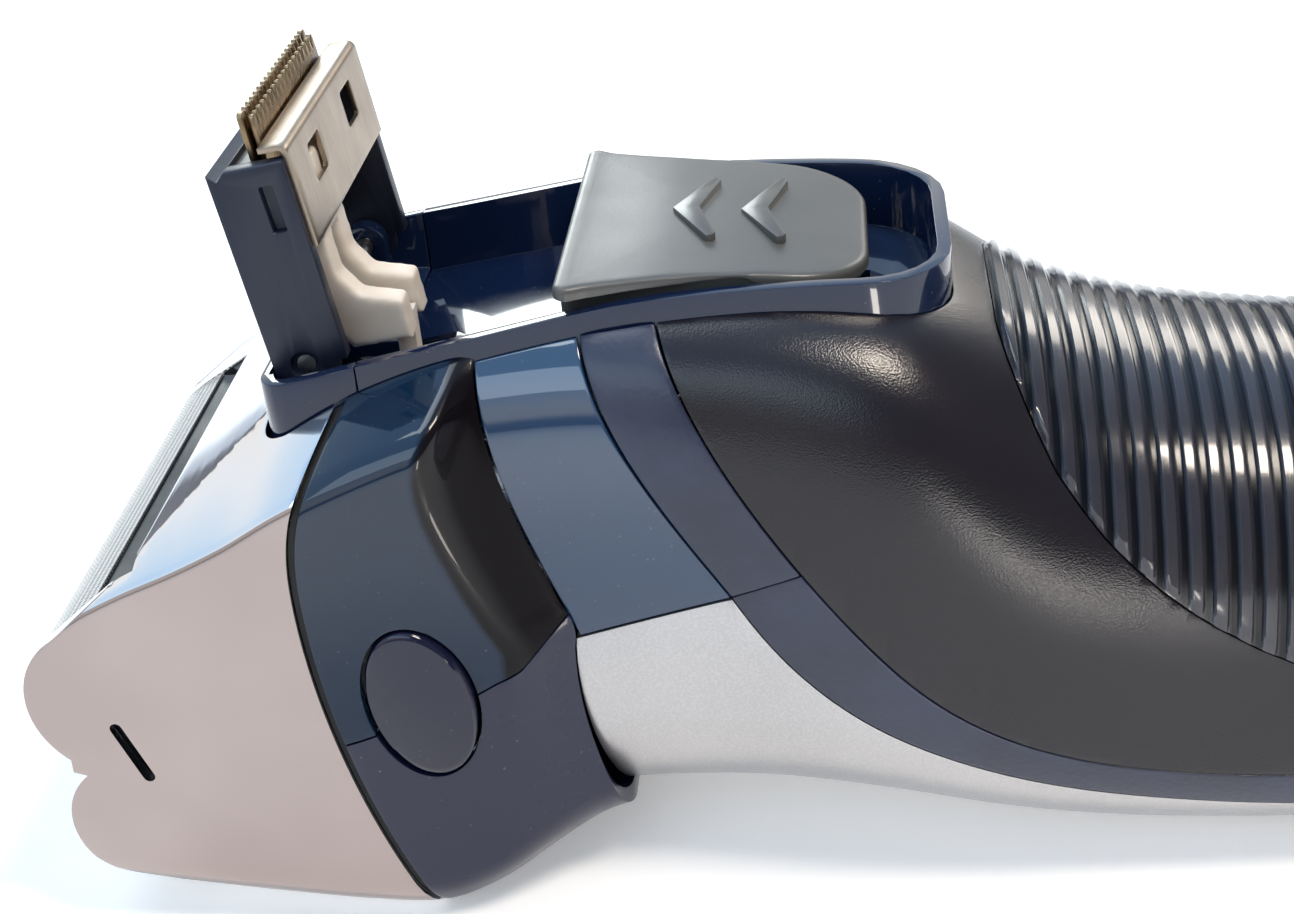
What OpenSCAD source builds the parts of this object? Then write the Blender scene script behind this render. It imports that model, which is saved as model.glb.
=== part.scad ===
// Foil shaver with a pop-up trimmer, lying on its front, head towards -X, all pieces separate.
// +X runs to the handle end, +Y across the width, +Z up through the back of the shaver.

/* [Body] */
// Length over everything, foil tips to handle end
body_length = 160; // [158:1:168]
// Wall of the moulded shells
wall = 2.2; // [1.8:0.1:2.4]
// Scale of the handle's width
handle_width_scale = 1; // [0.96:0.01:1.06]
// Thickness of the moulded end cap
end_cap_length = 7; // [6:0.5:8]

/* [Head] */
// Width across the head at its widest
head_width = 59; // [58:0.5:62]
// Radius of the head frame's lobe over the rear foil
rear_lobe_radius = 8.2; // [8.1:0.1:8.4]
// Radius of the head frame's lobe over the front foil
front_lobe_radius = 7.1; // [7:0.1:7.2]
// How far each foil sits inside its lobe
foil_recess = 0.3; // [0.2:0.05:0.4]
// Thickness of the foil sheet as modelled
foil_thickness = 0.25; // [0.2:0.05:0.3]
// Gap between a foil and the cutter under it
cutter_gap = 0.3; // [0.3:0.05:0.4]
// Width of the foils across the head
foil_width = 49.6; // [48:0.2:49.8]
// Number of lamellae on each cutter
lamella_count = 27; // [19:2:31]
// Side-to-side stroke of the cutters, each way
stroke = 1.2; // [1:0.1:1.3]

/* [Release button] */
// Short width of the oval release button
button_w = 9.9; // [9:0.1:10.5]
// Long width of the oval release button
button_h = 16.3; // [15:0.1:17]
// Gap round each moving button
button_gap = 0.35; // [0.3:0.05:0.5]

/* [Trimmer] */
// Width of the trimmer arm
arm_width = 31.4; // [31:0.2:31.6]
// Length of the arm above its hinge pin
arm_length = 19.6; // [18:0.2:20]
// Lean of the open arm towards the foils, degrees
arm_lean = 8.3; // [6:0.1:9]
// Radius of the trimmer hinge pin
pin_radius = 0.9; // [0.8:0.05:1]
// Width of the row of trimmer teeth
comb_width = 25.2; // [22.4:1.4:25.2]
// Pitch of the trimmer teeth
tooth_pitch = 1.4; // [1.2:0.1:1.6]

/* [Trimmer bay] */
// Outer half width of the glossy rim at its front lip
rim_half_front = 19.4; // [19.2:0.1:19.6]
// Outer half width of the rim at its rounded rear end
rim_half_rear = 14.6; // [14.4:0.1:15]
// Thickness of that rim
rim_thickness = 1.3; // [1.2:0.1:1.4]
// Depth of the bay floor under the rim
bay_depth = 6.6; // [6.4:0.1:7]
// Free gap between pieces that slide past each other
running_gap = 0.35; // [0.3:0.05:0.5]

/* [Grip] */
// Pitch of the grip ribs
rib_pitch = 2.15; // [2.1:0.05:2.6]
// Height of the grip ribs
rib_height = 0.7; // [0.5:0.1:0.9]

/* [Drive] */
// Radius of the motor can
motor_radius = 10.2; // [9.8:0.1:10.4]
// Throw of the motor's eccentric pin
eccentric_throw = 1.2; // [1:0.1:1.3]
// Radius of the rechargeable cell
battery_radius = 7.1; // [7:0.1:7.3]
// Room behind the cell for its contact and leads
cell_room = 11; // [9.5:0.5:14]

/* [Charging socket] */
// Radius of the socket bore for a round plug
socket_radius = 2.8; // [2.7:0.05:2.9]
// Depth of the socket bore
socket_depth = 9; // [8:0.5:9.5]

/* [Hidden] */
$fn = 48;

front_x = -80;
end_x = front_x + body_length;
cap_x = end_x - end_cap_length;
seam = 0.12;            // gap shown by a closed joint between two mouldings
gasket = 0.7;           // width of the gasket line round the head frame
far = 60;               // half size of a cutting shape, larger than any section

// ---------- curves and laws ----------
function bez(a, b, c, d, n = 8) = [
    for (i = [0:n]) let (t = i / n, u = 1 - t)
        u * u * u * a + 3 * u * u * t * b + 3 * u * t * t * c + t * t * t * d
];
function span(law, x, i = 0) = i >= len(law) - 2 || x < law[i + 1][0] ? i : span(law, x, i + 1);
function slope(law, i) = let (a = max(i - 1, 0), b = min(i + 1, len(law) - 1))
    (law[b][1] - law[a][1]) / (law[b][0] - law[a][0]);
// value at x of a smooth curve through the law's [x, value] stations
function at(law, x) =
    let (i = span(law, x), h = law[i + 1][0] - law[i][0], t = (x - law[i][0]) / h)
    (2 * t * t * t - 3 * t * t + 1) * law[i][1] + (t * t * t - 2 * t * t + t) * h * slope(law, i)
    + (3 * t * t - 2 * t * t * t) * law[i + 1][1] + (t * t * t - t * t) * h * slope(law, i + 1);
function shifted(points, dx, dz = 0) = [for (p = points) [p[0] + dx, p[1] + dz]];
function reversed(points) = [for (i = [len(points) - 1:-1:0]) points[i]];
function signed_power(v, e) = sign(v) * pow(abs(v), e);

// neck and handle: half width, top, bottom and squareness along X
body_half_width = [[-38, 22.2], [-26, 22.6], [-12, 23.8], [2, 25.8], [14, 26.2], [30, 25.4],
    [50, 24.4], [66, 23.4], [76, 22.2], [88, 20.4]];
body_top = [[-38, 58], [-24, 59.8], [-10, 60.2], [0, 59.4], [5, 58.2], [10, 55.8], [16, 52.3], [22, 49.7],
    [30, 47.7], [42, 46.1], [60, 45], [76, 43.6], [88, 42]];
body_bottom = [[-38, 3.6], [-26, 4.9], [-12, 5.6], [0, 4.8], [14, 2.4], [28, 0.8], [44, 0.15],
    [60, 0.05], [72, 0.9], [88, 3]];
body_squareness = [[-38, 5], [-14, 4.4], [4, 3.4], [12, 2.8], [20, 2.5], [50, 2.35], [88, 2.4]];
belly_squareness = [[-38, 3.8], [-14, 3.6], [10, 3.5], [40, 3.6], [70, 3.4], [88, 3]];

// head: half width, underside, crest height and rise of the roof above the crest along X
head_half_width = [[-82, 28.2], [-60, 29], [-48, head_width / 2], [-42, head_width / 2 - 0.4],
    [-36, 28], [-31, 25.7], [-26, 23], [-20, 22]];
head_underside = [[-82, 4], [-67, 2.2], [-57, 1.1], [-49, 0.4], [-42, 0], [-37, 1.6], [-30, 4.8],
    [-24, 6.4], [-20, 6.8]];
head_crest = [[-82, 30], [-78.8, 32], [-74.2, 35.6], [-68.7, 38.5], [-62.4, 41.2], [-57.3, 43.7],
    [-51.9, 46.9], [-46, 49.8], [-40, 52], [-34, 53.5], [-20, 55]];
head_roof_rise = [[-82, 1.5], [-70, 3.8], [-56, 6.2], [-40, 6.2], [-20, 5.2]];

module skin(rings) {
    count = len(rings);
    n = len(rings[0]);
    polyhedron(
        points = [for (ring = rings) each ring],
        faces = concat(
            [[for (k = [n - 1:-1:0]) k]],
            [[for (k = [0:n - 1]) (count - 1) * n + k]],
            [for (i = [0:count - 2]) for (k = [0:n - 1]) let (a = i * n + k, b = i * n + (k + 1) % n)
                each [[a, b, a + n], [b, b + n, a + n]]]),
        convexity = 8);
}

// closed shell between two ring functions of equal length
module tube(outer, inner) {
    count = len(outer);
    n = len(outer[0]);
    m = count * n;
    polyhedron(
        points = concat([for (ring = outer) each ring], [for (ring = inner) each ring]),
        faces = concat(
            [for (k = [0:n - 1]) let (b = (k + 1) % n) each [[b, k, m + k], [b, m + k, m + b]]],
            [for (k = [0:n - 1]) let (a = (count - 1) * n + k, b = (count - 1) * n + (k + 1) % n)
                each [[a, b, m + b], [a, m + b, m + a]]],
            [for (i = [0:count - 2]) for (k = [0:n - 1]) let (a = i * n + k, b = i * n + (k + 1) % n)
                each [[a, b, a + n], [b, b + n, a + n], [m + b, m + a, m + a + n], [m + b, m + a + n, m + b + n]]]),
        convexity = 10);
}

body_points = 24;
function body_ring(x, inset) =
    let (w = at(body_half_width, x) * handle_width_scale - inset, top = at(body_top, x) - inset,
        bottom = at(body_bottom, x) + inset)
    [for (k = [0:body_points - 1]) let (t = 360 * (k + 0.5) / body_points,
        e = 2 / at(t < 180 ? body_squareness : belly_squareness, x))
        [x, w * signed_power(cos(t), e), (top + bottom) / 2 + (top - bottom) / 2 * signed_power(sin(t), e)]];
module body_shell(x0, x1, steps, inset = 0) {
    xs = [for (i = [0:steps]) x0 + (x1 - x0) * i / steps];
    tube([for (x = xs) body_ring(x, inset)], [for (x = xs) body_ring(x, wall)]);
}

head_corner = 5.2;      // radius of the head's lower corners
roof_power = 2.2;       // how flat the head's roof is in the middle
function head_half_ring(x, inset) =
    let (w = at(head_half_width, x) - inset, bottom = at(head_underside, x) + inset,
        crest = at(head_crest, x) - inset * 0.8, rise = at(head_roof_rise, x),
        r = max(head_corner - inset, 1.5), wc = w - 0.9)
    concat(
        [for (a = [-90:22.5:0]) [w - r + r * cos(a), bottom + r + r * sin(a)]],
        [for (f = [1, 0.9, 0.72, 0.48, 0.2]) [wc * f, crest + rise * (1 - pow(f, roof_power))]]);
function head_ring(x, inset) =
    let (half = head_half_ring(x, inset))
    [for (p = concat(half, [for (q = reversed(half)) [-q[0], q[1]]])) [x, p[0], p[1]]];
module head_block(x0, x1, steps, inset = 0)
    skin([for (i = [0:steps]) head_ring(x0 + (x1 - x0) * i / steps, inset)]);
module head_shell(x0, x1, steps, inset = 0) {
    xs = [for (i = [0:steps]) x0 + (x1 - x0) * i / steps];
    tube([for (x = xs) head_ring(x, inset)], [for (x = xs) head_ring(x, wall)]);
}

// keeps the part of a block inside a side-view outline given as [x, z] points
module side_cut(points, width = 2 * far)
    rotate([90, 0, 0]) linear_extrude(width, center = true) polygon(points);

// ---------- seam lines in the side view ----------
frame_seam = concat(
    bez([-41.4, -2], [-47.2, 9], [-51.6, 24], [-51.6, 38], 7),
    [for (i = [1:4]) bez([-51.6, 38], [-51.6, 46], [-49.5, 50.5], [-42, 60], 4)[i]]);
function seam_x(z) = lookup(z, [for (p = frame_seam) [p[1], p[0]]]);
shell_split = [[seam_x(21.9) + gasket + seam, 21.9], [-47.5, 22.4], [-36.4, 26.2], [-31.9, 27.9], [-29, 30.4]];
crest_edge = bez([-34.2, 62], [-34.4, 50], [-31.4, 42], [-26.6, 29], 7);
lower_edge = bez([-26.6, 33], [-28, 25], [-27.6, 16], [-21.8, 2], 6);
cover_corner = [-11.9, 33.7];
cover_edge = concat([[-30, 28.05], cover_corner],
    [for (i = [1:8]) bez(cover_corner, [-5.5, 22], [6, 11.5], [40, 8])[i]], [[end_x + 4, 7.4]]);
band_inner = bez([-25.4, 63], [-24, 52], [-18, 43], cover_corner, 6);
band_outer = concat(bez([-19.4, 65], [-16, 52], [-7, 37], [3.2, 25.9], 7),
    [for (i = [1:6]) bez([3.2, 25.9], [12, 16.5], [24, 13], [42, 12.2], 6)[i]], [[end_x + 4, 11.4]]);
grip_x0 = 13;
grip_x1 = cap_x - 5;
grip_low = 19;          // height of the grip's side edge at its rear end
grip_curve = concat(bez([12.4, 62], [14.5, 45], [25, 30], [50, 21.5], 9), [[grip_x1, grip_low]]);
function grip_side(x) = min(lookup(x, grip_curve), at(body_top, x) - wall - 0.5);
grip_edge = concat([for (x = [grip_x0:0.5:16]) [x, grip_side(x)]], [for (p = grip_curve) if (p[0] > 16.2) p]);

// rim of the trimmer bay in the side view
rim_line = [[-56, 54.7], [-51.6, 55.3], [-44.8, 56.5], [-37.1, 57.9], [-29.6, 59.2], [-22.2, 60.4],
    [-14, 61], [-2.6, 61], [12, 60.3]];
function rim_points(drop, x0, x1, n = 12) = [for (i = [0:n]) let (x = x0 + (x1 - x0) * i / n)
    [x, at(rim_line, x) - drop]];
bracket_front = -54.4;
deck_front = -44.8;
deck_rear = 9.4;
deck_corner = 9;        // radius of the bay's two rear corners
function rim_half(x) = rim_half_front
    + (rim_half_rear - rim_half_front) * (x - bracket_front) / (deck_rear - bracket_front);
module bay_plan(grow, x0 = -60) {
    r = deck_corner + grow;
    xc = deck_rear - deck_corner;
    edge = concat([[x0, rim_half(x0) + grow]],
        [for (a = [87:-14.5:0]) [xc + r * cos(a), rim_half(xc) - deck_corner + r * sin(a)]]);
    polygon(concat(edge, [for (i = [len(edge) - 1:-1:0]) [edge[i][0], -edge[i][1]]]));
}
// everything above a line parallel to the rim, inside the bay's outline
module rim_block(drop, grow) intersection() {
    translate([0, 0, 40]) linear_extrude(40) bay_plan(grow);
    side_cut(concat([[-60, 85], [14, 85]], reversed(rim_points(drop, -60, 14))));
}
module bay_cut(grow, x0 = -60)
    translate([0, 0, 40]) linear_extrude(40) bay_plan(grow, x0);

// ---------- head frame ----------
rear_centre = [-80 + rear_lobe_radius, 26.5];
front_centre = [-78.3 + front_lobe_radius, 12.6];
function polar(c, r, a) = [c[0] + r * cos(a), c[1] + r * sin(a)];
module frame_outline() {
    translate(rear_centre) circle(rear_lobe_radius);
    translate(front_centre) circle(front_lobe_radius);
    polygon(concat([polar(rear_centre, rear_lobe_radius, 122), polar(rear_centre, rear_lobe_radius, 232),
        [-76.9, 18.6], polar(front_centre, front_lobe_radius, 128),
        polar(front_centre, front_lobe_radius, 262)], [[-40, -2], [-40, 62]]));
}
frame_window = 25.6;    // half width of the opening between the frame's cheeks
plate_front = -67.1;    // front edge of the polished back plate
chin_front = -67.4;     // front edge of the plate under the front foil
frame_roof = 1.4;       // drop of the hollow under the roof's crest
lip_notch_gap = 0.5;    // gap round the hinge bracket where it enters the frame
module head_frame() color([0.78, 0.76, 0.77]) {
    difference() {
        intersection() {
            head_block(-81, -40.5, 12);
            rotate([90, 0, 0]) linear_extrude(2 * far, center = true) frame_outline();
            side_cut(concat(frame_seam, [[-90, 60], [-90, -2]]));
        }
        // hollow behind the foils, open at the front between the cheeks
        side_cut(concat([[-90, -5], [chin_front, -5]],
            [for (x = [chin_front, -58, -48, -38]) [x, at(head_underside, x) + wall]],
            [for (x = [-38, -46, -56, plate_front]) [x, at(head_crest, x) - frame_roof]],
            [[plate_front, 70], [-90, 70]]), 2 * frame_window);
        translate([0, 0, 30]) linear_extrude(40) bracket_plan(lip_notch_gap, -30);
        // latch slot in each cheek
        for (s = [-1, 1]) for (k = [0:1]) translate([-71.1 + 1.8 * k, s * 29, 23.4 - 5.7 * k])
            rotate([90, 0, 0]) cylinder(h = 8, r = 0.75, center = true);
        for (s = [-1, 1]) translate([-70.2, s * 29, 20.55]) rotate([0, -17.5, 0])
            cube([1.5, 8, 6], center = true);
    }
}

// ---------- foils and cassette ----------
rear_foil_radius = rear_lobe_radius - foil_recess;
front_foil_radius = front_lobe_radius - foil_recess;
module foil_sheet(c, r, a0, a1, leg, leg_at) {
    // curved sheet from angle a0 to a1, with a straight leg leaving tangent at leg_at
    n = 14;
    d = leg_at > 180 ? [-sin(leg_at), cos(leg_at)] : [sin(leg_at), -cos(leg_at)];
    start = leg_at > 180 ? a0 : a1;
    arc_out = [for (i = [0:n]) polar(c, r, start + (leg_at - start) * i / n)];
    arc_in = [for (i = [n:-1:0]) polar(c, r - foil_thickness, start + (leg_at - start) * i / n)];
    out_end = arc_out[n] + leg * d;
    in_end = arc_in[0] + leg * d;
    rotate([90, 0, 0]) linear_extrude(foil_width, center = true)
        polygon(concat(arc_out, [out_end, in_end], arc_in));
}
module foil_rear() color([0.8, 0.8, 0.78])
    foil_sheet(rear_centre, rear_foil_radius, 119, 236, 3.3, 119);
module foil_front() color([0.8, 0.8, 0.78])
    foil_sheet(front_centre, front_foil_radius, 134, 262, 5.4, 262);
module foil_cassette() color([0.15, 0.15, 0.16]) {
    plate = [polar(rear_centre, 6.6, 119), polar(rear_centre, 6.6, 150), polar(rear_centre, 6.6, 180),
        polar(rear_centre, 6.6, 215), [-75, 18.8], polar(front_centre, 5.6, 150),
        polar(front_centre, 5.6, 180), polar(front_centre, 5.6, 215), polar(front_centre, 5.6, 250),
        [-67.6, 6], [-64.5, 6], [-64.5, 36.6], [-69, 36]];
    for (s = [-1, 1]) translate([0, s * (foil_width / 2 - 0.4), 0])
        rotate([90, 0, 0]) linear_extrude(0.8, center = true) polygon(plate);
    // cross bars: behind the rear foil, between the foils, under the front foil
    side_cut([[-75, 33.1], [-67.4, 33.1], [-67.4, 34.7], [-72.75, 34.7], [-75, 33.45]], foil_width);
    translate([-77, -foil_width / 2, 18.05]) cube([2.2, foil_width, 1.4]);
    translate([-67.2, -foil_width / 2, 5.45]) cube([2.4, foil_width, 1.45]);
}

// ---------- cutters ----------
cutter_half = foil_width / 2 - 0.8 - stroke - 0.35;
post_y = 5;             // width of a drive post across the head
post_z = 3;             // height of a drive post
float_travel = 1.2;
module cutter(c, r) {
    pitch = (2 * cutter_half - 0.4) / (lamella_count - 1);
    difference() {
        union() {
            for (i = [0:lamella_count - 1]) translate([c[0], -cutter_half + 0.2 + i * pitch, c[1]])
                rotate([90, 0, 0]) intersection() {
                    cylinder(h = 0.4, r = r, center = true);
                    translate([-r - 0.5, -r * 0.85, -1]) cube([r + 1.5, r * 1.7, 2]);
                }
            translate([c[0] - 1, -cutter_half, c[1] - 3.2]) cube([5.2, 2 * cutter_half, 6.4]);
        }
        translate([c[0] + 1.4, -post_y / 2 - 0.2, c[1] - post_z / 2 - 0.2])
            cube([10, post_y + 0.4, post_z + 0.4]);
    }
}
module cutter_rear() color([0.62, 0.63, 0.64])
    cutter(rear_centre, rear_foil_radius - foil_thickness - cutter_gap);
module cutter_front() color([0.62, 0.63, 0.64])
    cutter(front_centre, front_foil_radius - foil_thickness - cutter_gap);

// square-wire compression spring along +X, or along another axis after turning
module coil(r, wire, turns, length) {
    seg = 8;
    n = seg * turns;
    skin([for (i = [0:n]) let (a = 360 * i / seg, x = wire / 2 + (length - wire) * i / n)
        [for (q = [[-1, -1], [1, -1], [1, 1], [-1, 1]])
            [x + q[0] * wire / 2, (r + q[1] * wire / 2) * cos(a), (r + q[1] * wire / 2) * sin(a)]]]);
}
bridge_front = -52.6;
module cutter_springs() color([0.7, 0.7, 0.72]) {
    for (c = [rear_centre, front_centre]) translate([c[0] + 4.5, 0, c[1]])
        coil(3.6, 0.5, 4, bridge_front - 0.3 - c[0] - 4.5);
}

// ---------- drive ----------
motor_z = 27;
motor_x0 = -44.5;
motor_length = 25;
post_web = 2;           // thickness of the web that drives the trimmer lever
lever_y = -6;           // place of the trimmer lever across the head
shaft_radius = 1;
eccentric_pin = 0.8;    // radius of the eccentric's pin
// half height of the bridge's window; its half width also allows for the bridge's own stroke
window = eccentric_throw + eccentric_pin + running_gap;
web_top = 56.4;
module drive_bridge() color([0.85, 0.84, 0.8]) {
    difference() {
        union() {
            translate([-50.6, -15, 9]) cube([2, 30, 24]);
            for (c = [rear_centre, front_centre]) {
                translate([bridge_front, -5.5, c[1] - 4]) cube([2.1, 11, 8]);
                translate([c[0] + 4, -post_y / 2, c[1] - post_z / 2])
                    cube([bridge_front - c[0] - 3.9, post_y, post_z]);
            }
        }
        translate([-50.7, -window - stroke, motor_z - window]) cube([2.4, 2 * (window + stroke), 2 * window]);
    }
    // web up to the trimmer lever
    translate([0, lever_y, 0]) side_cut([[-50.6, 30], [-48.6, 30], [-48.6, 40.4], [-41.6, 43],
        [-41.6, web_top], [-43.4, web_top], [-43.4, 44.4], [-50.6, 42]], post_web);
}
module bridge_flexures() color([0.85, 0.84, 0.8])
    for (s = [-1, 1]) translate([-48.6, s * 14.4 - 0.4, 15]) cube([3.6, 0.8, 14]);
module motor() color([0.72, 0.72, 0.74]) {
    translate([motor_x0, 0, motor_z]) rotate([0, 90, 0]) {
        difference() {
            union() {
                cylinder(h = motor_length, r = motor_radius);
                translate([0, 0, -1.5]) cylinder(h = motor_length + 3.1, r = 3);
            }
            translate([0, 0, -2]) cylinder(h = 4.2, r = shaft_radius + 0.06);
        }
    }
    // solder tags
    for (s = [-1, 1]) translate([motor_x0 + motor_length, s * 6 - 0.9, motor_z - 0.2])
        cube([3, 1.8, 0.4]);
}
module motor_eccentric() color([0.9, 0.75, 0.35]) {
    translate([0, 0, motor_z]) rotate([0, 90, 0]) {
        translate([0, 0, motor_x0 - 2.1]) cylinder(h = 3.7, r = shaft_radius);
        translate([0, 0, motor_x0 - 3.7]) cylinder(h = 1.7, r = 3.4);
        translate([-eccentric_throw, 0, motor_x0 - 5.7]) cylinder(h = 2.1, r = eccentric_pin);
    }
}

// ---------- head shells ----------
shell_seam = shifted(frame_seam, gasket + seam);
button_x = -41.3;
button_z = 26.1;
button_lean = -9;
module oval(grow, n = 32)
    polygon([for (k = [0:n - 1]) let (t = 360 * k / n)
        [(button_w / 2 + grow) * cos(t), (button_h / 2 + grow) * sin(t)]]);
module button_shaft(side, y0, y1, grow)
    translate([button_x, side * (y0 + y1) / 2, button_z]) rotate([0, button_lean, 0])
        rotate([90, 0, 0]) linear_extrude(y1 - y0, center = true) oval(grow);
module button_holes() for (s = [-1, 1]) button_shaft(s, 15, 40, button_gap);
tie_x = [-36.4, -34.4];     // cross wall that ties the two sides of the upper shell
module upper_head_shell() color([0.07, 0.09, 0.13]) difference() {
    intersection() {
        head_block(-53, -21, 12);
        side_cut(concat([for (p = shell_seam) if (p[1] > 21.6) p], [for (p = crest_edge) if (p[1] > 32) p],
            reversed(shifted(shell_split, 0, seam))));
    }
    translate([-60, -25, 10]) cube([60 + tie_x[0], 50, 41]);
    translate([tie_x[1], -20.6, 10]) cube([20, 41.2, 41]);
    translate([-40, -20.6, 10]) cube([20, 41.2, 29]);
    translate([-40, -25, 10]) cube([5.7, 50, 27]);
    button_holes();
    translate([0, 0, -0.2]) rim_block(bay_depth + deck_floor, running_gap - 0.2);
}
module lower_head_shell() color([0.07, 0.09, 0.13]) difference() {
    intersection() {
        head_shell(-53, -21, 12);
        side_cut(concat([for (p = shell_seam) if (p[1] < 21.6) p], shifted(shell_split, 0, -seam),
            [for (p = lower_edge) if (p[1] < 30.4) p]));
    }
    button_holes();
}
gasket_open = head_width / 2 - 3.5;
module head_gasket() color([0.03, 0.03, 0.03]) difference() {
    intersection() {
        head_block(-53, -38, 6, 0.5);
        side_cut(concat(shifted(frame_seam, seam / 2), reversed(shifted(frame_seam, gasket + seam / 2))));
    }
    // open in the middle, and above for the trimmer bay
    translate([-60, -gasket_open, 3]) cube([30, 2 * gasket_open, 42]);
    translate([-60, -rim_half_front - 0.3, 20]) cube([30, 2 * rim_half_front + 0.6, 60]);
}

// ---------- release buttons ----------
button_face = 29.5;
button_travel = 1.8;
module release_button(side) {
    button_shaft(side, 23, button_face, 0);
    button_shaft(side, 23.4, at(head_half_width, -36) - wall - 1.6, 1.1);
    translate([button_x, side * 21, button_z]) rotate([90, 0, 0]) cylinder(h = 4.2, r = 1.8, center = true);
}
module release_button_left() color([0.07, 0.09, 0.13]) release_button(-1);
module release_button_right() color([0.07, 0.09, 0.13]) release_button(1);
module release_spring(side)
    translate([button_x, side * 22.9, button_z]) rotate([0, 0, side > 0 ? -90 : 90])
        coil(2.6, 0.5, 4, 6.2);
module release_spring_left() color([0.7, 0.7, 0.72]) release_spring(-1);
module release_spring_right() color([0.7, 0.7, 0.72]) release_spring(1);

// ---------- body shells ----------
module half_space(side) translate([-far, side > 0 ? 0.5 : -far - 0.5, -10]) cube([3 * far, far, 100]);
module neck_panel(side) difference() {
    intersection() {
        body_shell(-37, -9, 8);
        side_cut(concat([for (p = shifted(crest_edge, seam)) if (p[1] > 31) p],
            [[-26.6, 29.1 + seam], cover_corner + [-seam, seam]],
            [for (i = [5:-1:0]) band_inner[i] + [-seam, 0]]));
        half_space(side);
    }
    bay_cut(0.1);
}
module neck_panel_left() color([0.12, 0.2, 0.33]) neck_panel(-1);
module neck_panel_right() color([0.12, 0.2, 0.33]) neck_panel(1);
module side_band(side) difference() {
    intersection() {
        body_shell(-28, cap_x - seam, 18, -0.1);
        side_cut(concat(shifted(band_inner, seam), shifted([for (i = [2:len(cover_edge) - 1]) cover_edge[i]], 0, seam),
            reversed(shifted(band_outer, -seam)))); 
        half_space(side);
    }
    bay_cut(0.1);
}
module side_band_left() color([0.12, 0.13, 0.15]) side_band(-1);
module side_band_right() color([0.12, 0.13, 0.15]) side_band(1);
power_x = 26;
lamp_x = 38;
power_radius = 6.5;
module front_cover() color([0.72, 0.71, 0.72]) difference() {
    intersection() {
        body_shell(-31, cap_x - seam, 18);
        side_cut(concat(shifted([for (p = cover_edge) if (p[0] > -28) p], 0, -seam), [[end_x + 4, -4], [-21, -4]],
            reversed(shifted([for (p = lower_edge) if (p[1] < 27.8) p], seam)), [[-26.9, 28.9 - seam]]));
    }
    translate([power_x, 0, -3]) cylinder(h = 12, r = power_radius + button_gap);
    translate([lamp_x, 0, -3]) cylinder(h = 12, r = 1.6);
}
module main_shell() color([0.16, 0.14, 0.13]) difference() {
    intersection() {
        body_shell(-22, cap_x - seam, 20);
        side_cut(concat(shifted(band_outer, seam), [[end_x + 4, 66], [grip_x1 + seam, 66]],
            [[grip_x1 + seam, grip_low - seam]],
            reversed(shifted([for (p = grip_edge) if (p[0] < grip_x1) p], 0, -seam)),
            [[grip_x0 - seam, grip_side(grip_x0) - seam], [grip_x0 - seam, 66]]));
    }
    bay_cut(0.1);
}
rib_count = floor((grip_x1 - grip_x0 - 1.2) / rib_pitch);
grip_outer_points = 10;
// closed outline of the grip at x: the outer skin, then the inner one, which ends a little higher
function grip_ring(x, lift) =
    let (w = at(body_half_width, x) * handle_width_scale, top = at(body_top, x), bottom = at(body_bottom, x),
        e = 2 / at(body_squareness, x), c = (top + bottom) / 2, h = (top - bottom) / 2,
        edge = grip_side(x) + seam, a0 = asin(signed_power((edge - c) / h, 1 / e)),
        a1 = asin(signed_power((edge + 0.15 - c) / (h - wall), 1 / e)))
    concat(
        [for (k = [0:grip_outer_points]) let (t = a0 + (180 - 2 * a0) * k / grip_outer_points)
            [x, (w + lift) * signed_power(cos(t), e), c + (h + lift) * signed_power(sin(t), e)]],
        [for (k = [4:-1:0]) let (t = a1 + (180 - 2 * a1) * k / 4)
            [x, (w - wall) * signed_power(cos(t), e), c + (h - wall) * signed_power(sin(t), e)]]);
module grip_panel() color([0.3, 0.3, 0.33])
    // each rib rises and falls over a quarter of its pitch
    skin(concat([grip_ring(grip_x0, 0)],
        [for (i = [0:rib_count - 1]) for (f = [[0.1, 0], [0.22, 1], [0.56, 1], [0.68, 0]])
            grip_ring(grip_x0 + 0.6 + (i + f[0]) * rib_pitch, f[1] * rib_height)],
        [grip_ring(grip_x1 - seam, 0)]));

// ---------- end cap ----------
socket_z = 24;
module end_cap() color([0.1, 0.1, 0.11]) difference() {
    skin([for (q = [[cap_x, 0], [end_x - 3, 0.2], [end_x - 1.4, 0.8], [end_x - 0.4, 1.9], [end_x, 3]])
        body_ring(q[0], q[1])]);
    translate([end_x - socket_depth - 1, 0, socket_z]) rotate([0, 90, 0]) cylinder(h = 20, r = 5);
    for (s = [-1, 1]) translate([0, s * 12, socket_z]) rotate([0, 90, 0]) {
        translate([0, 0, cap_x - 1]) cylinder(h = 20, r = 1.3);
        translate([0, 0, end_x - 2.2]) cylinder(h = 5, r = 2.4);
    }
}
module charging_socket() color([0.08, 0.08, 0.09]) difference() {
    union() {
        translate([end_x - socket_depth - 3, 0, socket_z]) rotate([0, 90, 0]) cylinder(h = socket_depth + 2.6, r = 4.4);
        translate([cap_x - 4, -6, socket_z - 6]) cube([3.8, 12, 12]);
    }
    translate([end_x - socket_depth - 0.4, 0, socket_z]) rotate([0, 90, 0]) cylinder(h = 20, r = socket_radius);
    translate([end_x - socket_depth - 4, 0, socket_z]) rotate([0, 90, 0]) cylinder(h = 20, r = 1.02);
}
module socket_pins() color([0.85, 0.8, 0.6])
    translate([end_x - socket_depth - 3.6, 0, socket_z]) rotate([0, 90, 0]) cylinder(h = socket_depth, r = 1);
module socket_seal() color([0.04, 0.04, 0.04])
    translate([end_x - 3, 0, socket_z]) rotate([0, 90, 0]) difference() {
        cylinder(h = 2, r = 4.98);
        translate([0, 0, -1]) cylinder(h = 4, r = 4.42);
    }
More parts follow.
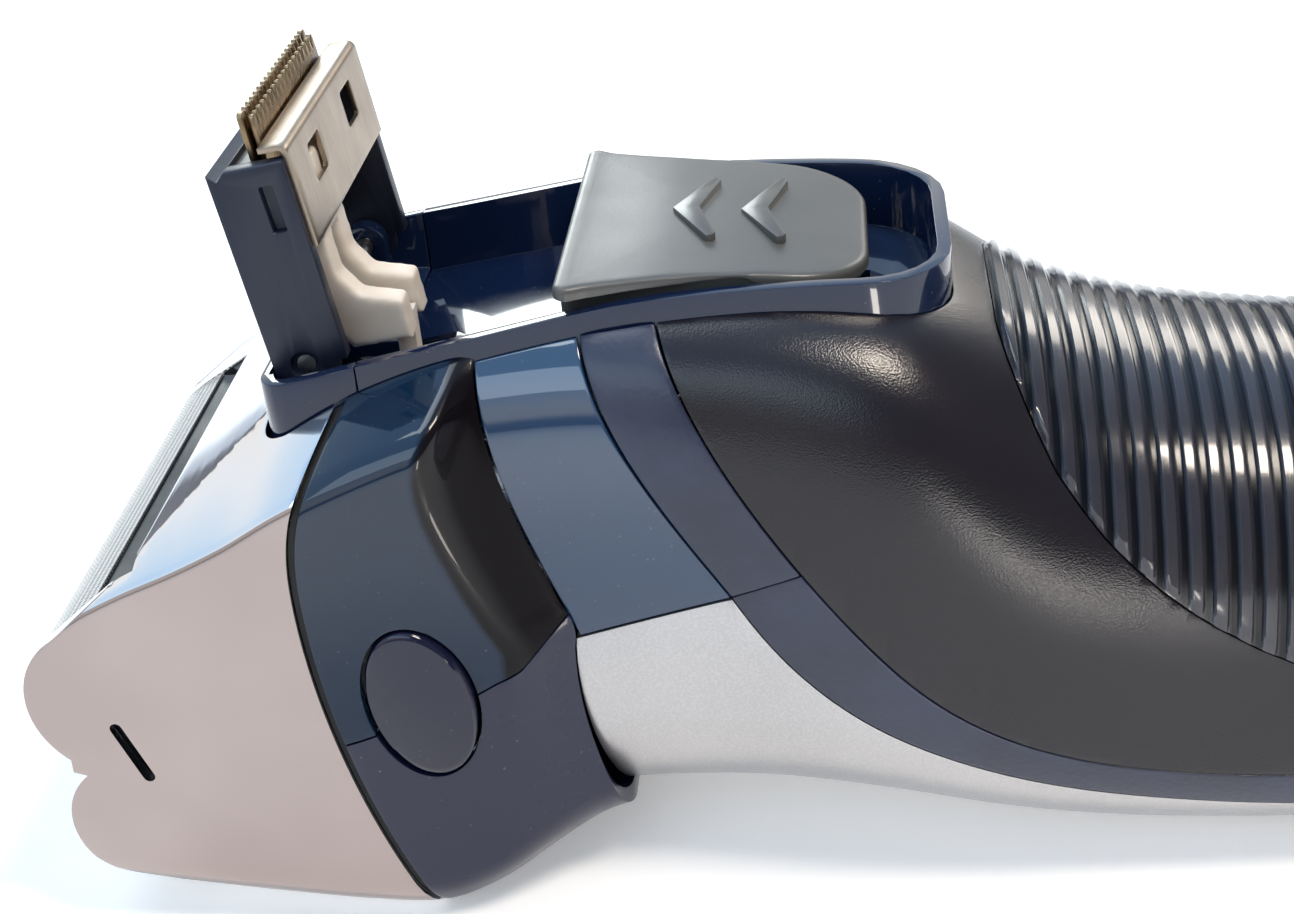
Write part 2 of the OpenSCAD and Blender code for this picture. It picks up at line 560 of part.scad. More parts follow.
module end_screws() color([0.75, 0.75, 0.77])
    for (s = [-1, 1]) translate([end_x - 2.2, s * 12, socket_z]) rotate([0, 90, 0]) difference() {
        union() {
            cylinder(h = 1.4, r = 2.2);
            translate([0, 0, -8]) cylinder(h = 8.1, r = 1.2);
        }
        for (a = [0, 90]) rotate([0, 0, a]) translate([-1.3, -0.25, 0.7]) cube([2.6, 0.5, 2]);
    }

// ---------- trimmer bay ----------
deck_floor = 1.4;
slide_slot = [-13.1, -2.4, 15, 4.8];      // slot for the slide's neck: x, y, length, width
module trimmer_deck() color([0.06, 0.08, 0.12]) difference() {
    intersection() {
        translate([0, 0, 40]) linear_extrude(40) bay_plan(0, deck_front);
        side_cut(concat(rim_points(0, deck_front, 12), reversed(rim_points(bay_depth + deck_floor, deck_front, 12))));
    }
    intersection() {
        translate([0, 0, 40]) linear_extrude(40) bay_plan(-rim_thickness, deck_front - 1);
        side_cut(concat([[deck_front - 1, 80], [14, 80]], reversed(rim_points(bay_depth, deck_front - 1, 14))));
    }
    translate([slide_slot[0], slide_slot[1], 40]) cube([slide_slot[2], slide_slot[3], 30]);
    // slot and dimple at the rear of the bay
    translate([5.4, 0, 40]) cylinder(h = 30, r = 0.7);
    translate([4, -0.7, 40]) cube([1.4, 1.4, 30]);
    // way through for the trimmer lever's fork
    translate([deck_front - 1, lever_y - fork_half, 40]) cube([6.8, 2 * fork_half, 20]);
}

// ---------- trimmer ----------
pin = [-50.2, 55.4];
arm_front = -3.1;
arm_rear = 4.1;
arm_side = 1.7;
comb_x = 0.3;           // rail face that the comb lies on
blade_x = 1.1;
blade_thickness = 0.5;
lever_x = 1.9;
module place_arm() translate([pin[0], 0, pin[1]]) rotate([0, -arm_lean, 0]) children();
module across(y, h, r) translate([0, y, 0]) rotate([90, 0, 0]) cylinder(h = h, r = r, center = true);
lip_corner = 3;
knuckle_y = arm_width / 2 - 3.1;    // middle of each hinge knuckle across the head
knuckle_radius = 2.3;
fork_half = 5.6;        // half width of the way through for the lever's fork
module bracket_plan(grow, x1 = deck_front - seam) {
    r = lip_corner + grow;
    xc = bracket_front + lip_corner;
    edge = concat([for (a = [180:-15:90]) [xc + r * cos(a), rim_half(xc) - lip_corner + r * sin(a)]],
        [[x1, rim_half(x1) + grow]]);
    polygon(concat(edge, [for (i = [len(edge) - 1:-1:0]) [edge[i][0], -edge[i][1]]]));
}
module hinge_bracket() color([0.06, 0.08, 0.12]) {
    floor_z = 50.2;
    difference() {
        intersection() {
            translate([0, 0, 45]) linear_extrude(20) bracket_plan(0);
            side_cut(concat(rim_points(0, -57, -40, 4), [[-40, 46.6], [-51, 46.6], [-57, 48.4]]));
        }
        translate([0, 0, floor_z]) linear_extrude(20) bracket_plan(-rim_thickness, deck_front + 5);
        // thinner front wall behind which the arm turns
        translate([bracket_front + 0.75, -arm_width / 2 - 0.5, floor_z]) cube([5, arm_width + 1, 20]);
        // way through for the lever's fork
        translate([-53.4, lever_y - fork_half, 40]) cube([12.4, 2 * fork_half, 20]);
    }
    // knuckles for the hinge pin
    for (y = [-knuckle_y, knuckle_y]) difference() {
        union() {
            translate([pin[0], 0, pin[1]]) across(y, 2, knuckle_radius);
            translate([pin[0] - knuckle_radius, y - 1, floor_z - 0.5])
                cube([2 * knuckle_radius, 2, pin[1] - floor_z + 0.5]);
        }
        translate([pin[0], 0, pin[1]]) across(y, 6, pin_radius + 0.06);
    }
}
module trimmer_arm() color([0.13, 0.14, 0.2]) place_arm() {
    difference() {
        union() {
            intersection() {
                translate([arm_front, -arm_width / 2, -3]) cube([arm_rear - arm_front, arm_width, arm_length + 3]);
                union() {
                    translate([arm_front - 1, -arm_width, 0]) cube([10, 2 * arm_width, 30]);
                    across(0, 2 * arm_width, 3.1);
                }
            }
        }
        // hollow for blade, lever and knuckles
        translate([arm_front + 1.4, -arm_width / 2 + arm_side, -5]) cube([20, arm_width - 2 * arm_side, arm_length + 10]);
        translate([arm_front - 3, -arm_width / 2 + arm_side, -8]) cube([10, arm_width - 2 * arm_side, 8 + knuckle_radius + 0.4]);
        across(0, 2 * arm_width, pin_radius + 0.02);
        for (s = [-1, 1]) across(s * arm_width / 2, 1, 1.4);
        // slot in each side of the arm
        for (s = [-1, 1]) translate([1.3, s * arm_width / 2 - 1, 13.2]) cube([1.3, 2, 4.4]);
        // bevel at the front corner
        translate([arm_front, -arm_width, arm_length]) rotate([0, 45, 0]) cube([1.2, 2 * arm_width, 1.2], center = false);
    }
    // rail that carries the comb
    translate([arm_front + 1.3, -arm_width / 2 + arm_side - 0.1, arm_length - 8])
        cube([comb_x - arm_front - 1.3, arm_width - 2 * arm_side + 0.2, 7]);
}
module trimmer_pin() color([0.75, 0.75, 0.78]) place_arm() across(0, arm_width - 1, pin_radius);
plate_width = 29.6;
plate_foot = 11;
module trimmer_plate() color([0.8, 0.78, 0.74]) place_arm() difference() {
    union() {
        translate([arm_rear + 0.02, -plate_width / 2, plate_foot]) cube([0.5, plate_width, arm_length - plate_foot + 1.2]);
        translate([2, -plate_width / 2, arm_length + 0.7]) cube([arm_rear + 0.5 - 2, plate_width, 0.5]);
    }
    for (y = [-9.2, 4.8]) translate([arm_rear - 1, y, 15]) cube([3, 4.4, 3.4]);
}
teeth_count = floor(comb_width / tooth_pitch);
module toothed(x, thickness, root, tip, width, base) {
    difference() {
        translate([x, -width / 2, base]) cube([thickness, width, tip - base]);
        for (i = [0:teeth_count - 1]) translate([x - 1, -comb_width / 2 + (i + 0.5) * tooth_pitch - tooth_pitch * 0.25, root])
            cube([thickness + 2, tooth_pitch * 0.5, 10]);
    }
}
module trimmer_comb() color([0.75, 0.6, 0.4]) place_arm()
    toothed(comb_x, blade_thickness, arm_length + 1.2, arm_length + 3.9, comb_width, arm_length - 6);
module trimmer_blade() color([0.6, 0.52, 0.4]) place_arm()
    toothed(blade_x, blade_thickness, arm_length + 1.2, arm_length + 3.5, comb_width - tooth_pitch, arm_length - 4);
module trimmer_lever() color([0.93, 0.88, 0.78]) place_arm() {
    // body along the arm
    translate([lever_x, lever_y - 4.2, 9.5]) cube([1.9, 8.4, arm_length - 12.1]);
    // finger that carries the moving blade
    translate([blade_x + blade_thickness, lever_y - 3, arm_length - 5.6]) cube([0.6, 6, 3]);
    // fork that reaches into the bay, one tine each side of the drive web
    for (s = [-1, 1]) translate([0, lever_y + s * (post_web / 2 + running_gap + 1.425), 0])
        side_cut([[1.9, 10], [3.8, 10], [3.8, 6], [5.2, 3.6], [9, 2.4], [9, -1.6], [3, -1.6], [1.9, 0.4]],
            2.85);
}
module trimmer_spring() color([0.7, 0.7, 0.72]) place_arm() {
    translate([-1.2, 2, 0]) rotate([0, 0, 90]) translate([0, -1.2, 0]) coil(1.7, 0.45, 4, 5);
}

// ---------- slide button ----------
slide_front = -26.4;
slide_rear = 1.8;
slide_travel = 5.5;
slide_corner = 8;
// half width of the slide's body, which keeps clear of the tapering rim over its whole travel
function slide_half(x) = rim_half(x + slide_travel) - rim_thickness - running_gap;
wing_half = 17.4;       // half width of the slide's front edge, which overhangs the rim
wing_rear = -12.5;
module slide_plan() {
    r = slide_corner;
    xc = slide_rear - r;
    edge = concat([[slide_front, slide_half(slide_front)]],
        [for (a = [87:-14.5:0]) [xc + r * cos(a), slide_half(xc) - r + r * sin(a)]]);
    polygon(concat(edge, [for (i = [len(edge) - 1:-1:0]) [edge[i][0], -edge[i][1]]]));
}
slide_top = [[-28, 62.9], [-24, 62.5], [-16, 62.1], [-6, 61.3], [4, 59.6]];
slide_bottom = 58.4;
function slide_points(x0, x1, n = 9) = [for (i = [0:n]) let (x = x0 + (x1 - x0) * i / n) [x, at(slide_top, x)]];
// one arm of a chevron, drawn for the +Y side and mirrored for the other
module chevron_arm() linear_extrude(1.9) polygon([[-1.2, 0], [1.4, 0], [3.2, 6.5], [2.9, 7.1], [2.3, 7.2]]);
module slide_button() color([0.4, 0.4, 0.4]) {
    intersection() {
        translate([0, 0, 50]) linear_extrude(30) slide_plan();
        side_cut(concat(slide_points(slide_front - 1, slide_rear + 1), [[slide_rear + 1, slide_bottom], [slide_front - 1, slide_bottom]]));
    }
    // wings that ride over the rim
    intersection() {
        translate([0, 0, 50]) linear_extrude(30) polygon([[slide_front, -wing_half], [slide_front, wing_half],
            [wing_rear, slide_half(wing_rear) - 0.2], [wing_rear, -slide_half(wing_rear) + 0.2]]);
        side_cut(concat(slide_points(slide_front - 1, wing_rear + 1, 5), [[wing_rear + 1, 61.4], [slide_front - 1, 60.9]]));
    }
    // two chevrons that point to the head
    for (x = [-15.4, -8.9]) translate([x, 0, at(slide_top, x + 2) - 1]) {
        chevron_arm();
        mirror([0, 1, 0]) chevron_arm();
    }
    // neck through the bay floor
    translate([-12.6, -1.9, 52.4]) cube([8, 3.8, 7]);
}
module slide_carrier() color([0.5, 0.5, 0.5])
    translate([-15.6, -5, 50]) cube([14, 10, 2.4]);

// ---------- inside the handle ----------
battery_x0 = 4;
battery_z = 24;
chassis_x0 = -18;
chassis_x1 = cap_x - 6;
screw_xs = [-15.5, chassis_x1 - 5];
screw_y = 6.8;
battery_length = chassis_x1 - 3 - cell_room - battery_x0;
module chassis() color([0.2, 0.2, 0.22]) difference() {
    union() {
        // motor cradle
        translate([-45, -13, 15]) cube([25.4, 26, 10]);
        // spring posts for the release buttons
        for (s = [-1, 1]) translate([button_x, s * 14.6, button_z]) rotate([90, 0, 0]) cylinder(h = 4.2, r = 3.4, center = true);
        translate([-45, -15.2, 15]) cube([8, 30.4, 14]);
        // cell tray
        translate([-20, -11, 14.6]) cube([chassis_x1 + 20, 22, 7]);
        translate([battery_x0 - 4.4, -10, 14.6]) cube([2.4, 20, 16]);
        translate([chassis_x1 - 3, -10, 14.6]) cube([3, 20, 16]);
        // legs that stand on the front cover
        for (x = screw_xs) for (s = [-1, 1]) translate([x, s * screw_y, at(body_bottom, x) + wall + 0.55])
            cylinder(h = 14.5 - at(body_bottom, x) - wall, r = 2.3);
    }
    translate([-60, 0, motor_z]) rotate([0, 90, 0]) cylinder(h = 44, r = motor_radius + 0.05);
    translate([battery_x0 - 1.2, 0, battery_z]) rotate([0, 90, 0]) cylinder(h = battery_length + 2.4, r = battery_radius + 0.1);
    for (x = screw_xs) for (s = [-1, 1]) translate([x, s * screw_y, 8]) cylinder(h = 30, r = 1.05);
}
module battery() color([0.15, 0.4, 0.25]) translate([battery_x0, 0, battery_z]) rotate([0, 90, 0]) {
    cylinder(h = battery_length - 1.4, r = battery_radius);
    translate([0, 0, battery_length - 1.5]) cylinder(h = 1.2, r = 2.8);
}
module battery_tabs() color([0.8, 0.8, 0.78]) {
    translate([battery_x0 - 1, -2.5, battery_z - 4]) cube([0.6, 5, 8]);
    translate([battery_x0 + battery_length + 0.2, -2.5, battery_z - 4]) cube([0.6, 5, 8]);
}
board_z = 13;
board_x0 = -12;
board_x1 = cap_x - 17;
module circuit_board() color([0.1, 0.35, 0.2]) difference() {
    union() {
        translate([board_x0, -9.5, board_z]) cube([board_x1 - board_x0, 19, 1.6]);
        for (p = [[-4, -4], [2, 4], [board_x1 - 16, -6.5], [board_x1 - 8, 4]]) translate([p[0], p[1] - 2, board_z - 1.4]) cube([5, 4, 1.5]);
    }
    for (x = [board_x0 + 3, board_x1 - 3]) translate([x, 0, 5]) cylinder(h = 20, r = 1.1);
}
module power_switch() color([0.1, 0.1, 0.1]) {
    translate([power_x - 3, -3, board_z - 3.2]) cube([6, 6, 3.2]);
    translate([power_x, 0, board_z - 4.4]) cylinder(h = 1.3, r = 1.6);
}
button_bottom = 0.9;
module power_button() color([0.3, 0.3, 0.32]) {
    translate([power_x, 0, button_bottom]) cylinder(h = 3.8, r = power_radius);
    translate([power_x, 0, 4.6]) cylinder(h = 1, r = power_radius + 1.2);
    translate([power_x, 0, 5.5]) cylinder(h = board_z - 4.4 - 5.5 - 0.9, r = 1.5);
}
module charge_lamp_lens() color([0.9, 0.9, 0.9]) translate([lamp_x, 0, 0.9]) cylinder(h = 6, r = 1.55);
module chassis_screws() color([0.75, 0.75, 0.77])
    for (x = screw_xs) for (s = [-1, 1]) translate([x, s * screw_y, 21.6]) difference() {
        union() {
            translate([0, 0, -12]) cylinder(h = 12.1, r = 1);
            cylinder(h = 1.2, r = 1.9);
        }
        for (a = [0, 90]) rotate([0, 0, a]) translate([-1.1, -0.2, 0.7]) cube([2.2, 0.4, 2]);
    }

head_frame();
foil_cassette();
foil_rear();
foil_front();
cutter_rear();
cutter_front();
cutter_springs();
drive_bridge();
bridge_flexures();
motor();
motor_eccentric();
upper_head_shell();
lower_head_shell();
head_gasket();
release_button_left();
release_button_right();
release_spring_left();
release_spring_right();
neck_panel_left();
neck_panel_right();
side_band_left();
side_band_right();
front_cover();
main_shell();
grip_panel();
end_cap();
trimmer_deck();
hinge_bracket();
slide_button();
slide_carrier();
trimmer_arm();
trimmer_pin();
trimmer_plate();
trimmer_comb();
trimmer_blade();
trimmer_lever();
trimmer_spring();
chassis();
battery();
battery_tabs();
circuit_board();
power_switch();
power_button();
charge_lamp_lens();
charging_socket();
socket_pins();
socket_seal();
chassis_screws();
end_screws();
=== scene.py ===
import math
import bpy
from mathutils import Matrix, Vector


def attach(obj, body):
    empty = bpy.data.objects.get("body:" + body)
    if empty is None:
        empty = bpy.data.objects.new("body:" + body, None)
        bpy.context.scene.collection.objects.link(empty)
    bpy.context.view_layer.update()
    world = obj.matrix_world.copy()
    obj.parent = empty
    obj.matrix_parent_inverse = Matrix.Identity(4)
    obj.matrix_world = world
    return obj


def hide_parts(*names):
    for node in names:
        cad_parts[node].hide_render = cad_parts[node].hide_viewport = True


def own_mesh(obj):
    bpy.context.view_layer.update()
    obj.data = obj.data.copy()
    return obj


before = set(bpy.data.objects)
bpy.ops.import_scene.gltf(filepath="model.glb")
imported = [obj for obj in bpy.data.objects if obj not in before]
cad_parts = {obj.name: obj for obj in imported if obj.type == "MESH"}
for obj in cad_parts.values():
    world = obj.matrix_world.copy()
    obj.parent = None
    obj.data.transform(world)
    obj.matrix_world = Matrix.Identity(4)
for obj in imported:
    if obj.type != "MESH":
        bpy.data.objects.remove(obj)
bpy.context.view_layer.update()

# ---------------- head frame
# The head frame is one moulding in ABS, chrome plated: two satin cheeks with a two-lobed outline
# and a mirror-polished back plate between them. It snaps over the cutters and is pulled off by
# the release buttons. Sizes are in millimetres and are turned into metres where a mesh is made.
MM = 0.001
HEAD_HALF_WIDTH = [(-82, 28.2), (-60, 29), (-48, 29.5), (-42, 29.1), (-36, 28), (-31, 25.7), (-26, 23),
    (-20, 22)]
HEAD_UNDERSIDE = [(-82, 4), (-67, 2.2), (-57, 1.1), (-49, 0.4), (-42, 0), (-37, 1.6), (-30, 4.8),
    (-24, 6.4), (-20, 6.8)]
HEAD_CREST = [(-82, 30), (-78.8, 32), (-74.2, 35.6), (-68.7, 38.5), (-62.4, 41.2), (-57.3, 43.7),
    (-51.9, 46.9), (-46, 49.8), (-40, 52), (-34, 53.5), (-20, 55)]
HEAD_ROOF_RISE = [(-82, 1.5), (-70, 3.8), (-56, 6.2), (-40, 6.2), (-20, 5.2)]
HEAD_CORNER, CREST_INSET, ROOF_BOW = 5.2, 0.9, 2.2
UNDER_END, CORNER_END, FLANK_END, RIDGE_END = 0.12, 0.22, 0.55, 0.65
REAR_LOBE = (-71.8, 26.5, 8.2)
FRONT_LOBE = (-71.2, 12.6, 7.1)
GASKET, SEAM = 0.7, 0.12


def along(law, x):
    """Value at x of a smooth curve through a law's stations."""
    i = 0
    while i < len(law) - 2 and x >= law[i + 1][0]:
        i += 1
    def slope(k):
        a, b = max(k - 1, 0), min(k + 1, len(law) - 1)
        return (law[b][1] - law[a][1]) / (law[b][0] - law[a][0])
    h = law[i + 1][0] - law[i][0]
    t = (x - law[i][0]) / h
    return ((2 * t**3 - 3 * t**2 + 1) * law[i][1] + (t**3 - 2 * t**2 + t) * h * slope(i)
            + (3 * t**2 - 2 * t**3) * law[i + 1][1] + (t**3 - t**2) * h * slope(i + 1))


def bow(a, b, c, d, n=24):
    """Points of a cubic curve from a to d."""
    rows = []
    for i in range(n + 1):
        t, u = i / n, 1 - i / n
        weights = (u**3, 3 * u * u * t, 3 * u * t * t, t**3)
        rows.append(tuple(sum(w * p for w, p in zip(weights, four)) for four in zip(a, b, c, d)))
    return rows


def read(line, value, by):
    """The other coordinate of a side-view line where its coordinate by has this value."""
    points = line if line[0][by] < line[-1][by] else line[::-1]
    for p, q in zip(points, points[1:]):
        if value <= q[by] or q is points[-1]:
            k = (value - p[by]) / (q[by] - p[by])
            return p[1 - by] + k * (q[1 - by] - p[1 - by])


def head_point(x, a, out=0.0, soft=2.2):
    """The head's skin at x; a runs from the right roof line (-1) by the underside (0) to the left (1)."""
    s = abs(a)
    w = along(HEAD_HALF_WIDTH, x) + out
    low = along(HEAD_UNDERSIDE, x) - out
    crest = along(HEAD_CREST, x) + 0.8 * out
    rise = along(HEAD_ROOF_RISE, x)
    top = w - CREST_INSET
    if s < UNDER_END:
        y, z = (w - HEAD_CORNER) * s / UNDER_END, low
    elif s < CORNER_END:
        turn = math.radians(-90 + 90 * (s - UNDER_END) / 0.1)
        y = w - HEAD_CORNER + HEAD_CORNER * math.cos(turn)
        z = low + HEAD_CORNER + HEAD_CORNER * math.sin(turn)
    else:
        start = Vector((w, low + HEAD_CORNER))
        peak = Vector((top, crest))
        side_end = peak + (start - peak).normalized() * soft
        f = 1 - soft / top
        roof_start = Vector((top * f, crest + rise * (1 - f**ROOF_BOW)))
        if s < FLANK_END:
            y, z = start.lerp(side_end, (s - CORNER_END) / 0.33)
        elif s < RIDGE_END:
            k = (s - FLANK_END) / 0.1
            y, z = side_end * (1 - k)**2 + peak * (2 * k * (1 - k)) + roof_start * k**2
        else:
            f = f * (1 - (s - RIDGE_END) / 0.35)
            y, z = top * f, crest + rise * (1 - abs(f)**ROOF_BOW)
    return (x, -y if a < 0 else y, z)


def arc(circle, start, stop, n=40):
    """Points round a circle (centre and radius) from one angle to another, in degrees."""
    x, z, r = circle
    turns = [math.radians(start + (stop - start) * i / n) for i in range(n + 1)]
    return [(x + r * math.cos(t), z + r * math.sin(t)) for t in turns]


def rim_half(x):
    """Half width of the trimmer bay's rim, which tapers towards the grip."""
    return 19.4 - 4.8 * (x + 54.4) / 63.8


def lip_outline(grow, rear):
    """Plan of the hinge bracket at the bay's front, grown by a gap."""
    corner, x = 3, -51.4
    edge = arc((x, rim_half(x) - corner, corner + grow), 180, 90, 15)
    edge.append((rear, rim_half(rear) + grow))
    return edge + [(x, -y) for x, y in reversed(edge)]


def pick(*pieces):
    """Selects these pieces only, and makes the first one active."""
    bpy.ops.object.select_all(action="DESELECT")
    for piece in pieces:
        piece.select_set(True)
    if pieces:
        bpy.context.view_layer.objects.active = pieces[0]


def close_up():
    """Turns every face of the solid in edit mode outwards and goes back to object mode."""
    bpy.ops.mesh.select_all(action="SELECT")
    bpy.ops.mesh.normals_make_consistent(inside=False)
    bpy.ops.object.mode_set(mode="OBJECT")


def sheet(name, rows):
    """A surface through rows of points, shaped from a flat grid."""
    pick()
    bpy.ops.mesh.primitive_grid_add(x_subdivisions=len(rows[0]) - 1, y_subdivisions=len(rows) - 1)
    piece = bpy.context.object
    piece.name = name
    piece.data.vertices.foreach_set("co", [c * MM for row in rows for point in row for c in point])
    piece.data.update()
    return piece


def rolled(name, rings):
    """A closed solid through equal rings of points: a grid rolled up, joined along its edge and capped."""
    piece = sheet(name, [list(ring) + [ring[0]] for ring in rings])
    bpy.ops.object.mode_set(mode="EDIT")
    bpy.ops.mesh.select_all(action="SELECT")
    bpy.ops.mesh.remove_doubles(threshold=1e-7)
    bpy.ops.mesh.select_all(action="DESELECT")
    bpy.ops.mesh.select_non_manifold()
    bpy.ops.mesh.fill_holes(sides=0)
    close_up()
    return piece


def block(name, outline, lift, place):
    """An outline pushed through by lift; place turns an outline point into a corner in millimetres."""
    pick()
    bpy.ops.mesh.primitive_circle_add(vertices=len(outline), fill_type="NGON")
    piece = bpy.context.object
    piece.name = name
    for vertex, point in zip(piece.data.vertices, outline):
        vertex.co = Vector(place(point)) * MM
    bpy.ops.object.mode_set(mode="EDIT")
    bpy.ops.mesh.select_all(action="SELECT")
    bpy.ops.mesh.extrude_region_move(TRANSFORM_OT_translate={"value": Vector(lift) * MM})
    close_up()
    return piece


def side_block(outline, half):
    """A block with a side-view outline, half wide each way."""
    return block("cutter", outline, (0, 2 * half, 0), lambda p: (p[0], -half, p[1]))


def plan_block(outline, low, high):
    """A block with a plan outline, between two heights."""
    return block("cutter", outline, (0, 0, high - low), lambda p: (p[0], p[1], low))


def shape(piece, kind, **settings):
    """Adds a modifier to the piece, gives it these settings and applies it."""
    pick(piece)
    modifier = piece.modifiers.new(kind.lower(), kind)
    for key, value in settings.items():
        setattr(modifier, key, value)
    bpy.ops.object.modifier_apply(modifier=modifier.name)


def carve(piece, cutter, how="DIFFERENCE"):
    """Takes the cutter away from the piece, or keeps only what is inside it."""
    shape(piece, "BOOLEAN", operation=how, object=cutter, solver="EXACT")
    bpy.data.objects.remove(cutter)


def ease(piece, width, steps=2, limit=30, weld=0.02, flat=0):
    """Joins the piece's corners, rounds its sharp edges by width and smooths what is curved."""
    pick(piece)
    bpy.ops.object.mode_set(mode="EDIT")
    bpy.ops.mesh.select_all(action="SELECT")
    bpy.ops.mesh.remove_doubles(threshold=weld * MM)
    if flat:
        bpy.ops.mesh.dissolve_limited(angle_limit=math.radians(flat))
    bpy.ops.object.mode_set(mode="OBJECT")
    if width:
        shape(piece, "BEVEL", width=width * MM, segments=steps, limit_method="ANGLE",
              angle_limit=math.radians(limit), use_clamp_overlap=True, miter_outer="MITER_ARC")
    bpy.ops.object.shade_smooth_by_angle(angle=math.radians(limit))


def finished(piece, material, body, slot, *nodes):
    """Gives a piece its finish and fixes it to its body, in place of the plain solids."""
    piece.data.materials.clear()
    piece.data.materials.append(material)
    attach(piece, body)
    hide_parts(*nodes)
    return piece


def node(tree, kind, settings=(), **inputs):
    """A shader node; an input is a value or another node's output."""
    made = tree.nodes.new(kind)
    for key, value in dict(settings).items():
        setattr(made, key, value)
    for key, value in inputs.items():
        fill(made.inputs[int(key[1:]) if key[0] == "_" else key.replace("_", " ")], value)
    return made


def fill(socket, value):
    """Gives a socket a plain value, or links another node's output to it."""
    if isinstance(value, bpy.types.NodeSocket):
        socket.id_data.links.new(value, socket)
    else:
        is_rgb = isinstance(value, tuple) and len(value) == 3 and len(socket.default_value) == 4
        socket.default_value = (*value, 1) if is_rgb else value


def feed(shader, **inputs):
    """Sets a shader's inputs to plain values or to other nodes' outputs."""
    for key, value in inputs.items():
        fill(shader.inputs[key.replace("_", " ")], value)


def spot(tree):
    """Where a point is on the piece."""
    return node(tree, "ShaderNodeTexCoord").outputs["Object"]


def noise(tree, scale, detail, at=None, **values):
    """A cloudy value over the surface."""
    at = spot(tree) if at is None else at
    return node(tree, "ShaderNodeTexNoise", Vector=at, Scale=scale, Detail=detail, **values).outputs["Fac"]


def scaled(tree, value, span, out=(0.0, 1.0), smooth=False):
    """A value's span turned into another span, held at both ends."""
    kind = {"interpolation_type": "SMOOTHSTEP"} if smooth else {}
    ends = dict(_1=span[0], _2=span[1], _3=out[0], _4=out[1])
    return node(tree, "ShaderNodeMapRange", kind, Value=value, **ends).outputs[0]


def reckon(tree, how, *values):
    """A sum, product or the like of values over the surface."""
    inputs = {f"_{k}": value for k, value in enumerate(values)}
    return node(tree, "ShaderNodeMath", {"operation": how}, **inputs).outputs[0]


def ramp(tree, value, stops):
    """A colour ramp over value with stops (place, grey or colour)."""
    made = node(tree, "ShaderNodeValToRGB", Fac=value)
    for k, (place, tone) in enumerate(stops):
        mark = made.color_ramp.elements[k] if k < 2 else made.color_ramp.elements.new(place)
        mark.position = place
        mark.color = (tone, tone, tone, 1) if isinstance(tone, (int, float)) else (*tone, 1)
    return made.outputs["Color"]


def clouded(tree, scale, detail, dark, pale, ends=(0.3, 0.7)):
    """A tone that drifts between two colours over the surface."""
    return ramp(tree, noise(tree, scale, detail), [(ends[0], dark), (ends[1], pale)])


def blend_colours(tree, amount, a, b):
    """Mixes two colours by amount."""
    return node(tree, "ShaderNodeMix", {"data_type": "RGBA"}, _0=amount, _6=a, _7=b).outputs[2]


def embossed(tree, height, strength, depth):
    """A normal raised by a height over the surface."""
    return node(tree, "ShaderNodeBump", Strength=strength, Distance=depth, Height=height).outputs["Normal"]


def group(name, inputs, output):
    """An empty effect with named number inputs (name, value) and one output."""
    tree = bpy.data.node_groups.new(name, "ShaderNodeTree")
    for label, value in inputs:
        socket = tree.interface.new_socket(name=label, in_out="INPUT", socket_type="NodeSocketFloat")
        socket.default_value = value
    tree.interface.new_socket(name=output, in_out="OUTPUT", socket_type="NodeSocketFloat")
    return tree, tree.nodes.new("NodeGroupInput").outputs, tree.nodes.new("NodeGroupOutput").inputs[output]


# Wipe marks: broad, faint changes of gloss that hands and a cloth leave on smooth surfaces.
marks, given, result = group("wipe marks", [("Scale", 60.0), ("Low", 0.1), ("High", 0.2)], "Gloss")
broad = noise(marks, given["Scale"], 4.0, Roughness=0.6)
fill(result, scaled(marks, broad, (0.35, 0.68), (given["Low"], given["High"])))

# Dust: sparse pale specks that settle on dark glossy mouldings, thicker in some places.
dust, given, result = group("dust", [("Scale", 900.0), ("Amount", 0.5)], "Mask")
specks = node(dust, "ShaderNodeTexVoronoi", Vector=spot(dust), Scale=given["Scale"], Randomness=1.0).outputs
dots = scaled(dust, specks["Distance"], (0.11, 0.2), (1.0, 0.0))
chance = node(dust, "ShaderNodeSeparateColor", Color=specks["Color"]).outputs[0]
few = scaled(dust, chance, (0.86, 0.9))
where = scaled(dust, noise(dust, 90.0, 2.0), (0.42, 0.66), (0.15, 1.0))
settled = reckon(dust, "MULTIPLY", reckon(dust, "MULTIPLY", dots, few), where)
fill(result, reckon(dust, "MULTIPLY", settled, given["Amount"]))


def effect(tree, which, **values):
    """Places a shared effect in a material."""
    return node(tree, "ShaderNodeGroup", {"node_tree": which}, **values).outputs[0]


def wiped(tree, scale, low, high):
    """Roughness with wipe marks in it."""
    return effect(tree, marks, Scale=scale, Low=low, High=high)


def finish_of(name, cloud=None, wipe=None, skin=None, **values):
    """A new material and its shader, with these plain values.

    cloud is the colour's scale, detail and two tones, wipe is the wipe marks' scale and gloss, and
    skin is the scale, detail, strength and depth of a fine bump.
    """
    made = bpy.data.materials.new(name)
    made.use_nodes = True
    tree, shader = made.node_tree, made.node_tree.nodes["Principled BSDF"]
    feed(shader, **values)
    if cloud:
        feed(shader, Base_Color=clouded(tree, *cloud))
    if wipe:
        feed(shader, Roughness=wiped(tree, *wipe))
    if skin:
        feed(shader, Normal=embossed(tree, noise(tree, *skin[:2]), *skin[2:]))
    return made, tree, shader


